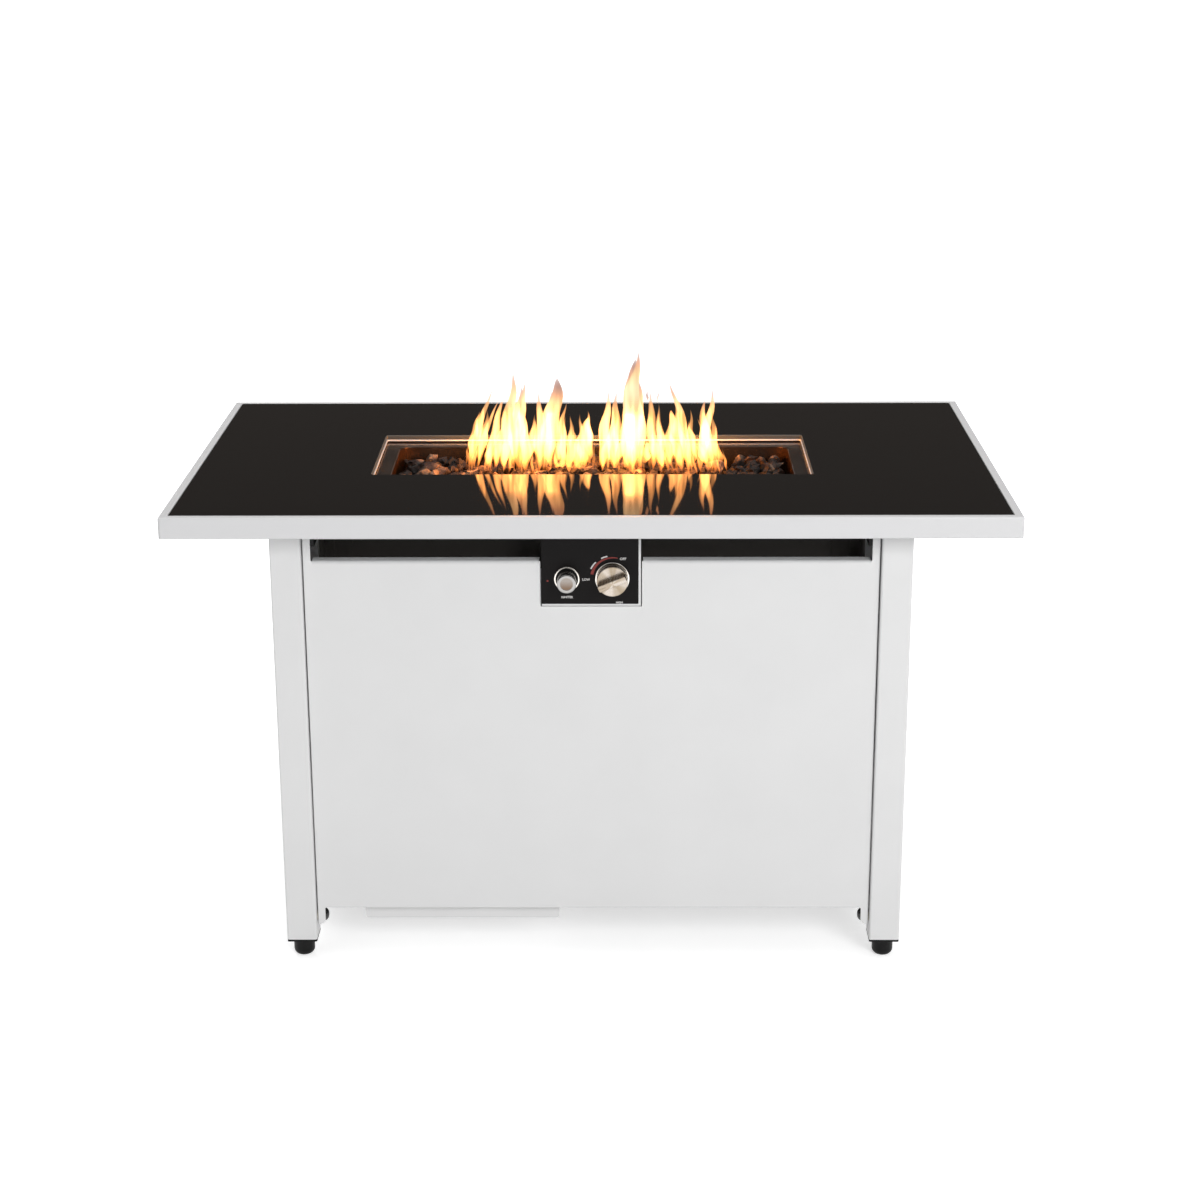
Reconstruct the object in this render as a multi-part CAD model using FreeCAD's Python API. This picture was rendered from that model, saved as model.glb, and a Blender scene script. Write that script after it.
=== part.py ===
import FreeCAD, Part
import math
import os
import random

os.makedirs("parts", exist_ok=True)

# All sizes are in millimetres. X runs along the table, -Y faces the user and Z rises from the floor.
# The origin is on the floor under the middle of the table.

# Table top
table_length = 1080.0
table_depth = 640.0
table_height = 630.0
rail_height = 28.0
rail_sheet = 1.5
rail_lip = 11.0
rail_ledge = 26.0
rail_hem = 10.0
rail_bend = 2.2
rail_corner_radius = 4.0
glass_thickness = 5.0
glass_edge_gap = 0.4
glass_chamfer = 1.0
glass_pad_height = 0.5
glass_pad_length = 30.0
glass_pad_width = 14.0
deck_sheet = 1.2
deck_edge_gap = 1.0
crossmember_height = 18.0
tube_wall = 1.5

# Fire bowl, burner and rocks
cutout_length = 586.0
cutout_depth = 216.0
cutout_corner_radius = 3.0
bowl_sheet = 0.8
bowl_rim_inset = 1.0
bowl_flange = 13.0
bowl_ledge_drop = 10.0
bowl_ledge_width = 21.0
bowl_depth = 81.5
bowl_corner_radius = 18.0
bowl_ledge_round = 2.5
bowl_floor_round = 8.0
drain_radius = 3.0
burner_radius = 12.7
burner_wall = 1.0
burner_length = 380.0
burner_height = 36.5
burner_inlet_radius = 11.0
port_radius = 1.25
port_pitch = 15.0
port_angle = 30.0
support_sheet = 2.0
support_spread = 280.0
mixer_radius = 10.0
mixer_wall = 1.5
mixer_length = 62.0
mixer_drop = 20.0
orifice_length = 14.0
rock_size = 36.0
rock_rows = 5
rock_jitter = 8.0
rock_fill = 14.0
rock_gap = 0.4
probe_x = 30.0
probe_y = -28.0
probe_radius = 3.0
probe_bracket_sheet = 1.5

# Legs, feet and lower frame
leg_span = 820.0
leg_inset = 50.0
leg_size = 40.0
leg_corner_radius = 2.5
leg_plate = 3.0
leg_plate_reach = 40.0
foot_height = 28.0
foot_flange = 3.0
foot_radius = 14.0
foot_round = 8.0
foot_plug = 18.0
lower_rail_base = 45.0
lower_rail_height = 25.0
lower_rail_width = 20.0
cross_rail_spread = 380.0

# Panels and front door
panel_sheet = 1.0
panel_recess = 8.0
panel_flange = 20.0
panel_gap = 1.0
panel_head_gap = 6.0
panel_bend = 1.3
fold_land = 1.7
vent_length = 60.0
vent_height = 8.0
vent_pitch = 20.0
vent_rows = 4
vent_spread = 180.0
door_gap = 1.5
door_reveal = 46.0
door_head_gap = 5.0
door_strip = 10.0
door_strip_drop = 24.0
door_pull_flange = 18.0
door_pull_bend = 4.5
door_bottom_flange = 12.0
hinge_drop = 14.0
hinge_setback = 11.0
hinge_pin_radius = 4.0
hinge_cap_radius = 9.5
hinge_cap_height = 12.5
catch_height = 20.0
catch_drop = 1.5
catch_reach = 16.5

# Heat shield
shield_sheet = 0.8
shield_depth = 102.0
shield_side_gap = 18.0
shield_box_gap = 18.0
shield_rim = 12.0
shield_bead_insets = (10.0, 34.0)
shield_bead_width = 8.0

# Controls
control_box_width = 127.0
control_box_drop = 105.0
control_box_depth = 72.0
control_box_sheet = 1.0
control_proud = 4.0
control_margin = 3.0
control_plate_sheet = 1.0
control_drop = 68.0
notch_gap = 1.5
notch_floor_gap = 1.7
knob_x = 27.0
knob_radius = 20.0
knob_disc = 9.0
knob_grip = 12.0
knob_grip_width = 9.0
knob_clearance = 5.5
knob_turn = 22.0
knob_bezel_radius = 22.0
knob_bezel_height = 2.0
stem_radius = 3.0
stem_travel = 3.0
washer_sheet = 1.5
valve_width = 36.0
valve_depth = 46.0
valve_boss_radius = 6.0
valve_nut_flats = 17.0
inlet_radius = 7.9
inlet_length = 16.0
pipe_radius = 4.0
lead_radius = 1.2
lead_run_in = 20.0
lead_drop = 22.0
pipe_lead_in = 12.0
pipe_run_out = 45.0
probe_tail = 12.0
igniter_x = -31.0
igniter_collar_radius = 16.5
igniter_housing_radius = 14.4
igniter_button_radius = 12.5
igniter_button_proud = 25.0
igniter_travel = 5.0
battery_radius = 5.25
battery_length = 44.5

# Tank tray and clamp
tray_left = -306.0
tray_right = -45.0
tray_sheet = 1.5
tray_lip = 20.0
tray_front_gap = 2.0
tray_corner_radius = 4.0
tank_ring_radius = 103.0
tank_hole_radius = 107.5
clamp_screw_radius = 4.0
clamp_knob_radius = 14.0
clamp_pad_radius = 8.0
clamp_pad_sheet = 4.0
clamp_nut_length = 7.0
clamp_travel = 10.0

# Clearances shared by several fits
running_gap = 0.08
seat_gap = 0.3
bolt_radius = 3.0
bolt_length = 14.0
bolt_head_radius = 5.5
bolt_head_height = 3.0
screw_radius = 2.0
screw_length = 4.0
screw_head = 2.0

V = FreeCAD.Vector

# Heights, faces and centres that follow from the sizes above
rail_bottom = table_height - rail_height
glass_bottom = table_height - glass_thickness
ledge_top = glass_bottom - glass_pad_height
deck_top = ledge_top - rail_sheet
deck_bottom = deck_top - deck_sheet
crossmember_bottom = deck_bottom - crossmember_height
leg_x = leg_span / 2 - leg_size / 2
leg_y = table_depth / 2 - leg_inset - leg_size / 2
leg_face_x = leg_span / 2 - leg_size
leg_face_y = leg_y - leg_size / 2
base_front = -(leg_y + leg_size / 2)
lower_rail_top = lower_rail_base + lower_rail_height
panel_bottom = lower_rail_top + panel_gap
panel_front = base_front + panel_recess
panel_top = crossmember_bottom - leg_plate - panel_head_gap
bowl_rim_x = cutout_length / 2 - bowl_rim_inset
bowl_rim_y = cutout_depth / 2 - bowl_rim_inset
bowl_ledge_z = table_height - bowl_ledge_drop
bowl_x = bowl_rim_x - bowl_ledge_width
bowl_y = bowl_rim_y - bowl_ledge_width
bowl_floor = bowl_ledge_z - bowl_depth
burner_z = bowl_floor + burner_height
rock_top = bowl_ledge_z - rock_fill
mixer_z = bowl_floor - mixer_drop
door_half = leg_face_x - door_gap
door_top = rail_bottom - door_reveal
door_strip_top = rail_bottom - door_head_gap
door_strip_bottom = panel_bottom - door_strip_drop
hinge_y = panel_front + hinge_setback
hinge_z = panel_bottom - hinge_drop
control_front = panel_front - control_proud
control_half = control_box_width / 2
control_bottom = rail_bottom - control_box_drop
control_z = rail_bottom - control_drop
box_front = control_front + control_plate_sheet
box_inner_front = box_front + control_box_sheet
box_rear = box_front + control_box_depth
shield_half_length = leg_face_x - shield_side_gap
shield_front = -(box_rear + shield_box_gap)
valve_rear = box_inner_front + valve_depth
tray_top = lower_rail_top + tray_sheet
tank_x = (tray_left + tray_right) / 2
clamp_z = lower_rail_top - clamp_pad_radius - 2 * tray_sheet
clamp_pad_face = tank_x + tank_ring_radius + clamp_travel
clamp_knob_x = tray_right + clamp_nut_length + clamp_travel + clamp_knob_radius
inlet_y = box_inner_front + valve_depth - 1.5 * inlet_radius
thermo_x = knob_x + valve_width / 4
thermo_z = control_z + valve_width / 4
washer_front = box_inner_front + 12.0
stem_front = control_front - knob_clearance - knob_disc
housing_front = control_front - 4.0
button_back = control_front + 6.0
spring_seat = button_back + igniter_travel + 6.0


def block(low, high):
    """A box between two opposite corners."""
    return Part.makeBox(high[0] - low[0], high[1] - low[1], high[2] - low[2], V(*low))


def rod(start, end, radius):
    """A round bar between two points."""
    line = V(*end) - V(*start)
    return Part.makeCylinder(radius, line.Length, V(*start), line)


def joined(shapes):
    """One solid made of shapes that touch or overlap."""
    return shapes[0].multiFuse(shapes[1:]).removeSplitter()


def cut_all(shape, tools):
    """The shape without any of the tools."""
    return shape.cut(tools)


def mirror_x(shape):
    """The same shape on the other side of the table's middle, left for right."""
    return shape.mirror(V(0, 0, 0), V(1, 0, 0))


def mirror_y(shape):
    """The same shape on the other side of the table's middle, front for rear."""
    return shape.mirror(V(0, 0, 0), V(0, 1, 0))


def turned(shape, degrees):
    """The shape turned about the vertical line through the origin."""
    copy = shape.copy()
    copy.rotate(V(0, 0, 0), V(0, 0, 1), degrees)
    return copy


def rounded(shape, radius, direction):
    """The shape with its edges along one direction rounded."""
    edges = []
    for edge in shape.Edges:
        if edge.Curve.TypeId != "Part::GeomLine":
            continue
        along = edge.tangentAt(edge.FirstParameter)
        if abs(abs(along.dot(V(*direction))) - 1) < 1e-6:
            edges.append(edge)
    return shape.makeFillet(radius, edges)


def edges_at(shape, axis, value):
    """The edges that lie in one plane across an axis."""
    found = []
    for edge in shape.Edges:
        box = edge.BoundBox
        low = (box.XMin, box.YMin, box.ZMin)[axis]
        high = (box.XMax, box.YMax, box.ZMax)[axis]
        if abs(low - value) < 1e-4 and abs(high - value) < 1e-4:
            found.append(edge)
    return found


def loop(corners):
    """A closed outline in a flat (u, v) plane. Each corner is (u, v, radius)."""
    bends = []
    for i, (u, v, radius) in enumerate(corners):
        here = V(u, v, 0)
        if radius <= 0:
            bends.append((here, None, here))
            continue
        last = corners[i - 1]
        following = corners[(i + 1) % len(corners)]
        back = (V(last[0], last[1], 0) - here).normalize()
        ahead = (V(following[0], following[1], 0) - here).normalize()
        half = back.getAngle(ahead) / 2
        inward = (back + ahead).normalize()
        middle = here + inward * (radius / math.sin(half) - radius)
        reach = radius / math.tan(half)
        bends.append((here + back * reach, middle, here + ahead * reach))
    edges = []
    for i, (start, middle, end) in enumerate(bends):
        if middle is not None:
            edges.append(Part.Arc(start, middle, end).toShape())
        onward = bends[(i + 1) % len(bends)][0]
        if (onward - end).Length > 1e-6:
            edges.append(Part.LineSegment(end, onward).toShape())
    return Part.Wire(edges)


def prism(corners, axis, start, end):
    """A flat outline made solid along an axis. (u, v) are the other two axes in X, Y, Z order."""
    face = Part.Face(loop(corners))
    solid = face.extrude(V(0, 0, end - start))
    if axis == "z":
        placing = FreeCAD.Matrix(1, 0, 0, 0, 0, 1, 0, 0, 0, 0, 1, start, 0, 0, 0, 1)
    elif axis == "x":
        placing = FreeCAD.Matrix(0, 0, 1, start, 1, 0, 0, 0, 0, 1, 0, 0, 0, 0, 0, 1)
    else:
        solid = face.extrude(V(0, 0, start - end))
        placing = FreeCAD.Matrix(1, 0, 0, 0, 0, 0, -1, start, 0, 1, 0, 0, 0, 0, 0, 1)
    solid.Placement = FreeCAD.Placement(placing)
    return solid


def rectangle(u_low, u_high, v_low, v_high, radius=0.0):
    """The corners of an upright rectangle."""
    corners = [(u_low, v_low), (u_high, v_low), (u_high, v_high), (u_low, v_high)]
    return [(u, v, radius) for u, v in corners]


def slab(half_x, half_y, z_low, z_high, radius=0.0):
    """A flat plate centred on the table, with rounded corners."""
    return prism(rectangle(-half_x, half_x, -half_y, half_y, radius), "z", z_low, z_high)


def square_tube(low, high, wall, axis):
    """A hollow rectangular tube along an axis, open at both ends."""
    inner_low = [value + wall for value in low]
    inner_high = [value - wall for value in high]
    inner_low[axis] = low[axis] - 1
    inner_high[axis] = high[axis] + 1
    return block(low, high).cut(block(inner_low, inner_high))


def tangent_arc(start, corner, end):
    """The arc that leaves start towards corner and reaches end from it, both the same distance away."""
    back = (start - corner).normalize()
    ahead = (end - corner).normalize()
    half_turn = (math.pi - back.getAngle(ahead)) / 2
    bend = (start - corner).Length / math.tan(half_turn)
    middle = corner + (back + ahead).normalize() * (bend / math.cos(half_turn) - bend)
    return Part.Arc(start, middle, end).toShape()


def pipe_route(points, radius):
    """A round tube's solid through points, straight runs joined by tangent arcs."""
    spots = [V(*point) for point in points]
    edges = []
    begin = spots[0]
    tightest = None
    for before, here, after in zip(spots, spots[1:], spots[2:]):
        back = before - here
        ahead = after - here
        turn = math.pi - back.getAngle(ahead)
        bend = 0.45 * min(back.Length, ahead.Length) / math.tan(turn / 2)
        tightest = bend if tightest is None else min(tightest, bend)
        back.normalize()
        ahead.normalize()
        reach = bend * math.tan(turn / 2)
        edges.append(Part.LineSegment(begin, here + back * reach).toShape())
        edges.append(tangent_arc(here + back * reach, here, here + ahead * reach))
        begin = here + ahead * reach
    edges.append(Part.LineSegment(begin, spots[-1]).toShape())
    path = Part.Wire(edges)
    section = Part.Wire(Part.makeCircle(radius, spots[0], spots[1] - spots[0]))
    solid = path.makePipeShell([section], True, False)
    share = solid.Volume / (math.pi * radius**2 * path.Length)
    print("pipe: tightest bend %.1f, length %.1f, volume share %.4f" % (tightest, path.Length, share))
    return solid


# Top frame: folded sheet rails with mitred ends. The flush lip holds the glass and the ledge carries it.
def top_rail(length, depth):
    """One rail along the front edge of a top that is this long and this deep."""
    lip_inner = rail_lip - rail_sheet
    ledge_end = rail_lip + rail_ledge
    inside = rail_bend - rail_sheet
    profile = [
        (0, rail_bottom, rail_bend),
        (0, table_height, rail_bend),
        (rail_lip, table_height, rail_sheet / 2),
        (rail_lip, ledge_top, 0),
        (ledge_end, ledge_top, 0),
        (ledge_end, deck_top, 0),
        (lip_inner, deck_top, 0),
        (lip_inner, table_height - rail_sheet, 0),
        (rail_sheet, table_height - rail_sheet, inside),
        (rail_sheet, rail_bottom + rail_sheet, inside),
        (rail_hem, rail_bottom + rail_sheet, 0),
        (rail_hem, rail_bottom, 0),
    ]
    placed = [(d - depth / 2, z, radius) for d, z, radius in profile]
    bar = prism(placed, "x", -length / 2, length / 2)
    width = ledge_end + 1
    mitre = [
        (-length / 2, -depth / 2, rail_corner_radius),
        (length / 2, -depth / 2, rail_corner_radius),
        (length / 2 - width, -depth / 2 + width, 0),
        (-length / 2 + width, -depth / 2 + width, 0),
    ]
    wedge = prism([(u, v, 0) for u, v, radius in mitre], "z", rail_bottom - 1, table_height + 1)
    rounded_plan = slab(length / 2, depth / 2, rail_bottom - 1, table_height + 1, rail_corner_radius)
    return bar.common(wedge).common(rounded_plan)


# Glass: one tempered sheet, flush with the lip, with a cut-out over the bowl.
def glass_top():
    half_x = table_length / 2 - rail_lip - glass_edge_gap
    half_y = table_depth / 2 - rail_lip - glass_edge_gap
    sheet = slab(half_x, half_y, glass_bottom, table_height, cutout_corner_radius)
    hole = slab(cutout_length / 2, cutout_depth / 2, glass_bottom - 1, table_height + 1, cutout_corner_radius)
    glass = sheet.cut(hole)
    return glass.makeChamfer(glass_chamfer, edges_at(glass, 2, table_height))


# Silicone pads under the glass: thin ones on the rail ledge, thick ones on the deck round the bowl.
def glass_pads():
    pads = []
    ledge_x = table_length / 2 - rail_lip - rail_ledge / 2
    ledge_y = table_depth / 2 - rail_lip - rail_ledge / 2
    deck_x = cutout_length / 2 + bowl_flange + glass_pad_length
    deck_y = cutout_depth / 2 + bowl_flange + glass_pad_length
    half_l = glass_pad_length / 2
    half_w = glass_pad_width / 2
    for x in (-0.37 * table_length, 0.0, 0.37 * table_length):
        for y in (-ledge_y, ledge_y):
            pads.append(block((x - half_l, y - half_w, ledge_top), (x + half_l, y + half_w, glass_bottom)))
    for x in (-ledge_x, ledge_x):
        pads.append(block((x - half_w, -half_l, ledge_top), (x + half_w, half_l, glass_bottom)))
    for x in (-cutout_length / 4, cutout_length / 4):
        for y in (-deck_y, deck_y):
            pads.append(block((x - half_l, y - half_w, deck_top), (x + half_l, y + half_w, glass_bottom)))
    for x in (-deck_x, deck_x):
        pads.append(block((x - half_w, -half_l, deck_top), (x + half_w, half_l, glass_bottom)))
    return pads


# Deck: a steel sheet spot-welded under the rail ledges. It carries the bowl.
def top_deck():
    half_x = table_length / 2 - rail_sheet - deck_edge_gap
    half_y = table_depth / 2 - rail_sheet - deck_edge_gap
    hole_x = bowl_rim_x + bowl_sheet + seat_gap
    hole_y = bowl_rim_y + bowl_sheet + seat_gap
    sheet = slab(half_x, half_y, deck_bottom, deck_top, rail_corner_radius)
    hole = slab(hole_x, hole_y, deck_bottom - 1, deck_top + 1, cutout_corner_radius)
    return cut_all(sheet, [hole] + [box_screw_hole(x, y) for x, y in box_screw_places()])


# Cross members: two flat tubes under the deck, front to rear, that the legs bolt to.
def top_crossmember():
    half_y = table_depth / 2 - rail_hem - 2 * deck_edge_gap
    low = (-leg_x - leg_size / 2, -half_y, crossmember_bottom)
    high = (-leg_x + leg_size / 2, half_y, deck_bottom)
    tube = square_tube(low, high, tube_wall, 1)
    tube = tube.makeFillet(tube_wall, edges_at_corners(tube, low, high))
    holes = [leg_bolt_hole(x, y) for x, y in leg_bolt_places() if x < 0]
    return cut_all(tube, holes)


def edges_at_corners(shape, low, high):
    """The four long outer edges of a tube that runs along Y."""
    found = []
    for edge in shape.Edges:
        box = edge.BoundBox
        if box.YMax - box.YMin < 1:
            continue
        on_x = min(abs(box.XMin - low[0]), abs(box.XMin - high[0])) < 1e-4
        on_z = min(abs(box.ZMin - low[2]), abs(box.ZMin - high[2])) < 1e-4
        if on_x and on_z:
            found.append(edge)
    return found


# Fire bowl: one stepped, drawn pan. Its flange hangs on the deck, its bright rim shows under the glass.
def bowl_volume(grow):
    """The bowl's inside, or with grow its outside, as a solid."""
    top = deck_top + bowl_sheet
    step = slab(bowl_rim_x + grow, bowl_rim_y + grow, bowl_ledge_z - grow, top, cutout_corner_radius + grow)
    well = slab(bowl_x + grow, bowl_y + grow, bowl_floor - grow, bowl_ledge_z, bowl_corner_radius + grow)
    well = well.makeFillet(bowl_floor_round + grow, edges_at(well, 2, bowl_floor - grow))
    both = step.fuse(well)
    seam = []
    for edge in edges_at(both, 2, bowl_ledge_z - grow):
        box = edge.BoundBox
        inside_x = max(abs(box.XMin), abs(box.XMax)) < bowl_rim_x - bowl_ledge_width / 2
        inside_y = max(abs(box.YMin), abs(box.YMax)) < bowl_rim_y - bowl_ledge_width / 2
        if inside_x and inside_y:
            seam.append(edge)
    return both.makeFillet(bowl_ledge_round - grow, seam)


def fire_bowl():
    flange_x = bowl_rim_x + bowl_flange
    flange_y = bowl_rim_y + bowl_flange
    flange = slab(flange_x, flange_y, deck_top, deck_top + bowl_sheet, 2 * cutout_corner_radius)
    bowl = flange.fuse(bowl_volume(bowl_sheet)).cut(bowl_volume(0))
    places = [(0, 0, burner_inlet_radius + seat_gap)]
    for x in (-probe_x, probe_x):
        places.append((x, probe_y, probe_radius + seat_gap))
    for x in (-0.7 * bowl_x, 0.7 * bowl_x):
        for y in (-0.6 * bowl_y, 0.6 * bowl_y):
            places.append((x, y, drain_radius))
    low = bowl_floor - 2 * bowl_sheet
    holes = [rod((x, y, low), (x, y, bowl_floor + bowl_sheet), radius) for x, y, radius in places]
    return cut_all(bowl.removeSplitter(), holes)


# Burner: a closed tube with two rows of ports and an inlet through the bowl's floor.
def burner_tube():
    half = burner_length / 2
    outer = rod((-half, 0, burner_z), (half, 0, burner_z), burner_radius)
    outer = outer.makeFillet(burner_wall, [e for e in outer.Edges if e.Curve.TypeId == "Part::GeomCircle"])
    inlet = rod((0, 0, mixer_z + mixer_radius), (0, 0, burner_z), burner_inlet_radius)
    inner_radius = burner_radius - burner_wall
    inner = rod((-half + burner_wall, 0, burner_z), (half - burner_wall, 0, burner_z), inner_radius)
    bore = rod((0, 0, mixer_z), (0, 0, burner_z), burner_inlet_radius - burner_wall)
    body = outer.fuse(inlet).cut([inner, bore])
    ports = []
    count = int(half // port_pitch)
    for side in (-1, 1):
        lean = math.radians(side * port_angle)
        away = V(0, math.sin(lean), math.cos(lean))
        for i in range(-count, count + 1):
            start = V(i * port_pitch, 0, burner_z) + away * (burner_radius - 3 * burner_wall)
            if abs(start.x) < half - 2 * burner_wall:
                ports.append(Part.makeCylinder(port_radius, 4 * burner_wall, start, away))
    return cut_all(body, ports)


# Supports: two folded saddles between the bowl's floor and the burner tube.
def burner_supports():
    saddles = []
    cradle = burner_radius * 0.7
    for x in (-support_spread / 2, support_spread / 2):
        top = burner_z - burner_radius / 2
        web = block((x - support_sheet / 2, -cradle, bowl_floor), (x + support_sheet / 2, cradle, top))
        foot_top = bowl_floor + support_sheet
        foot = block((x - 4 * support_sheet, -cradle, bowl_floor), (x + 4 * support_sheet, cradle, foot_top))
        tube = rod((x - 9, 0, burner_z), (x + 9, 0, burner_z), burner_radius + running_gap / 4)
        saddles.append(joined([web, foot]).cut(tube))
    return saddles


# Air mixer: a horizontal tube with air slots. It turns up into the burner's inlet.
def air_mixer():
    front = -mixer_length
    rear = burner_inlet_radius
    barrel = rod((0, front, mixer_z), (0, rear, mixer_z), mixer_radius)
    socket_top = bowl_floor - bowl_sheet
    socket = rod((0, 0, mixer_z), (0, 0, socket_top), burner_inlet_radius + mixer_wall)
    hollow = rod((0, front - 1, mixer_z), (0, 0, mixer_z), mixer_radius - mixer_wall)
    throat = rod((0, 0, mixer_z), (0, 0, mixer_z + mixer_radius + 1), burner_inlet_radius - burner_wall)
    seat = rod((0, 0, mixer_z + mixer_radius), (0, 0, socket_top + 1), burner_inlet_radius + running_gap)
    slot_low = front + orifice_length
    slots = [
        block((-mixer_radius - 1, slot_low, mixer_z - 3), (mixer_radius + 1, slot_low + 18, mixer_z + 3)),
        block((-3, slot_low, mixer_z - mixer_radius - 1), (3, slot_low + 18, mixer_z)),
    ]
    return barrel.fuse(socket).cut([hollow, throat, seat] + slots)


# Orifice: a brass injector pushed into the mixer's front end, with a hexagon for the spanner.
def gas_orifice():
    front = -mixer_length
    spigot_radius = mixer_radius - mixer_wall - running_gap
    spigot = rod((0, front, mixer_z), (0, front + orifice_length - 2, mixer_z), spigot_radius)
    head = hexagon(mixer_radius, (0, mixer_z), front - 8, front)
    jet = rod((0, front - 9, mixer_z), (0, front + orifice_length, mixer_z), 1.0)
    return spigot.fuse(head).cut(jet)


def hexagon(half_flats, centre, start, end):
    """A six-sided bar along Y, about a centre in (x, z)."""
    corner = half_flats / math.cos(math.radians(30))
    points = []
    for i in range(6):
        turn = math.radians(60 * i)
        points.append((centre[0] + corner * math.cos(turn), centre[1] + corner * math.sin(turn), 0))
    return prism(points, "y", start, end)


# Lava rocks: irregular lumps that fill the bowl round the burner. Neighbours share their worn corners.
def rock_lattice(count, low, high):
    """Evenly spaced places between two ends."""
    return [low + (high - low) * i / count for i in range(count + 1)]


def lump(corners):
    """A closed twelve-sided lump from eight corners, drawn in a little from its neighbours."""
    centre = V(0, 0, 0)
    for corner in corners:
        centre += corner
    centre.multiply(1 / 8)
    shrunk = []
    for corner in corners:
        away = corner - centre
        shrunk.append(centre + away * (1 - rock_gap * 2 / away.Length))
    sides = [(0, 2, 3, 1), (4, 5, 7, 6), (0, 1, 5, 4), (2, 6, 7, 3), (0, 4, 6, 2), (1, 3, 7, 5)]
    faces = []
    for a, b, c, d in sides:
        low = min((a, c), (b, d))
        if low == (a, c):
            triangles = [(a, b, c), (a, c, d)]
        else:
            triangles = [(b, c, d), (b, d, a)]
        for triangle in triangles:
            points = [shrunk[i] for i in triangle]
            faces.append(Part.Face(Part.makePolygon(points + points[:1])))
    solid = Part.Solid(Part.Shell(faces))
    if solid.Volume < 0:
        solid.reverse()
    return solid


def lava_rocks():
    rng = random.Random(4)
    clear = 2 * seat_gap
    columns = round(2 * bowl_x / rock_size)
    xs = rock_lattice(columns, -bowl_x + clear, bowl_x - clear)
    ys = rock_lattice(rock_rows, -bowl_y + clear, bowl_y - clear)
    above_burner = burner_z + burner_radius + seat_gap
    low = bowl_floor + seat_gap
    levels = [low, (low + rock_top) / 2, rock_top]
    middle_row = rock_rows // 2
    corner_pull = bowl_corner_radius * (1 - math.sqrt(0.5)) + clear
    shifts = {}
    for i in range(columns + 1):
        for j in range(rock_rows + 1):
            at_end = i in (0, columns)
            at_side = j in (0, rock_rows)
            by_burner = j in (middle_row, middle_row + 1)
            dx = 0 if at_end else rng.uniform(-rock_jitter, rock_jitter)
            dy = 0 if at_side or by_burner else rng.uniform(-rock_jitter, rock_jitter)
            if at_end and at_side:
                dx = -math.copysign(corner_pull, xs[i])
                dy = -math.copysign(corner_pull, ys[j])
            middle = rng.uniform(-0.4 * rock_jitter, 0.4 * rock_jitter)
            crown = rng.uniform(-rock_jitter, 0.3 * rock_jitter)
            shifts[i, j] = (dx, dy, (0, middle, crown))
    rocks = []
    for i in range(columns):
        for j in range(rock_rows):
            near_probes = xs[i] < probe_x + rock_size / 2 and xs[i + 1] > -probe_x - rock_size / 2
            raised = j == middle_row or (j == middle_row - 1 and near_probes)
            for k in (0, 1):
                if k == 0 and raised:
                    continue
                corners = []
                for n in range(8):
                    a = i + (n & 1)
                    b = j + (n >> 1 & 1)
                    c = k + (n >> 2)
                    dx, dy, lift = shifts[a, b]
                    x = xs[a] + dx
                    y = ys[b] + dy
                    z = levels[c] + lift[c]
                    if c == 0:
                        inset = bowl_floor_round + (corner_pull if abs(dx) == corner_pull else 0)
                        x = min(max(x, inset - bowl_x), bowl_x - inset)
                        y = min(max(y, inset - bowl_y), bowl_y - inset)
                    if c == 1 and raised:
                        z = above_burner
                    corners.append(V(x, y, z))
                rocks.append(lump(corners))
    return rocks


# Igniter electrode and thermocouple probe, upright beside the burner, on one bracket.
def upright_probe(x, tip_reach):
    base = bowl_floor - probe_tail
    top = burner_z + 4
    body = rod((x, probe_y, base), (x, probe_y, top), probe_radius)
    shelf = bowl_floor + burner_height / 2
    collar = rod((x, probe_y, shelf), (x, probe_y, shelf + 2), probe_radius + 1)
    tip = rod((x, probe_y, top), (x, probe_y, top + tip_reach), probe_radius / 3)
    return joined([body, collar, tip])


def probe_bracket():
    shelf_z = bowl_floor + burner_height / 2
    reach = probe_x + 3 * probe_radius
    half = 2 * probe_radius
    shelf = block((-reach, probe_y - half, shelf_z - probe_bracket_sheet), (reach, probe_y + half, shelf_z))
    leg = block((-half, probe_y - half, bowl_floor), (half, probe_y - half + probe_bracket_sheet, shelf_z))
    foot_top = bowl_floor + probe_bracket_sheet
    foot = block((-half, probe_y - half, bowl_floor), (half, probe_y + half, foot_top))
    hole = probe_radius + running_gap
    holes = [rod((x, probe_y, shelf_z - 5), (x, probe_y, shelf_z + 5), hole) for x in (-probe_x, probe_x)]
    return joined([shelf, leg, foot]).cut(holes)


# Heat shield: a black sheet box round the bowl, under the deck, with pressed beads and front wings.
def shield_walls(grow):
    half_y = shield_front - shield_sheet + grow
    half_x = shield_half_length - shield_sheet + grow
    return slab(half_x, half_y, deck_bottom - shield_depth, deck_bottom)


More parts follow.
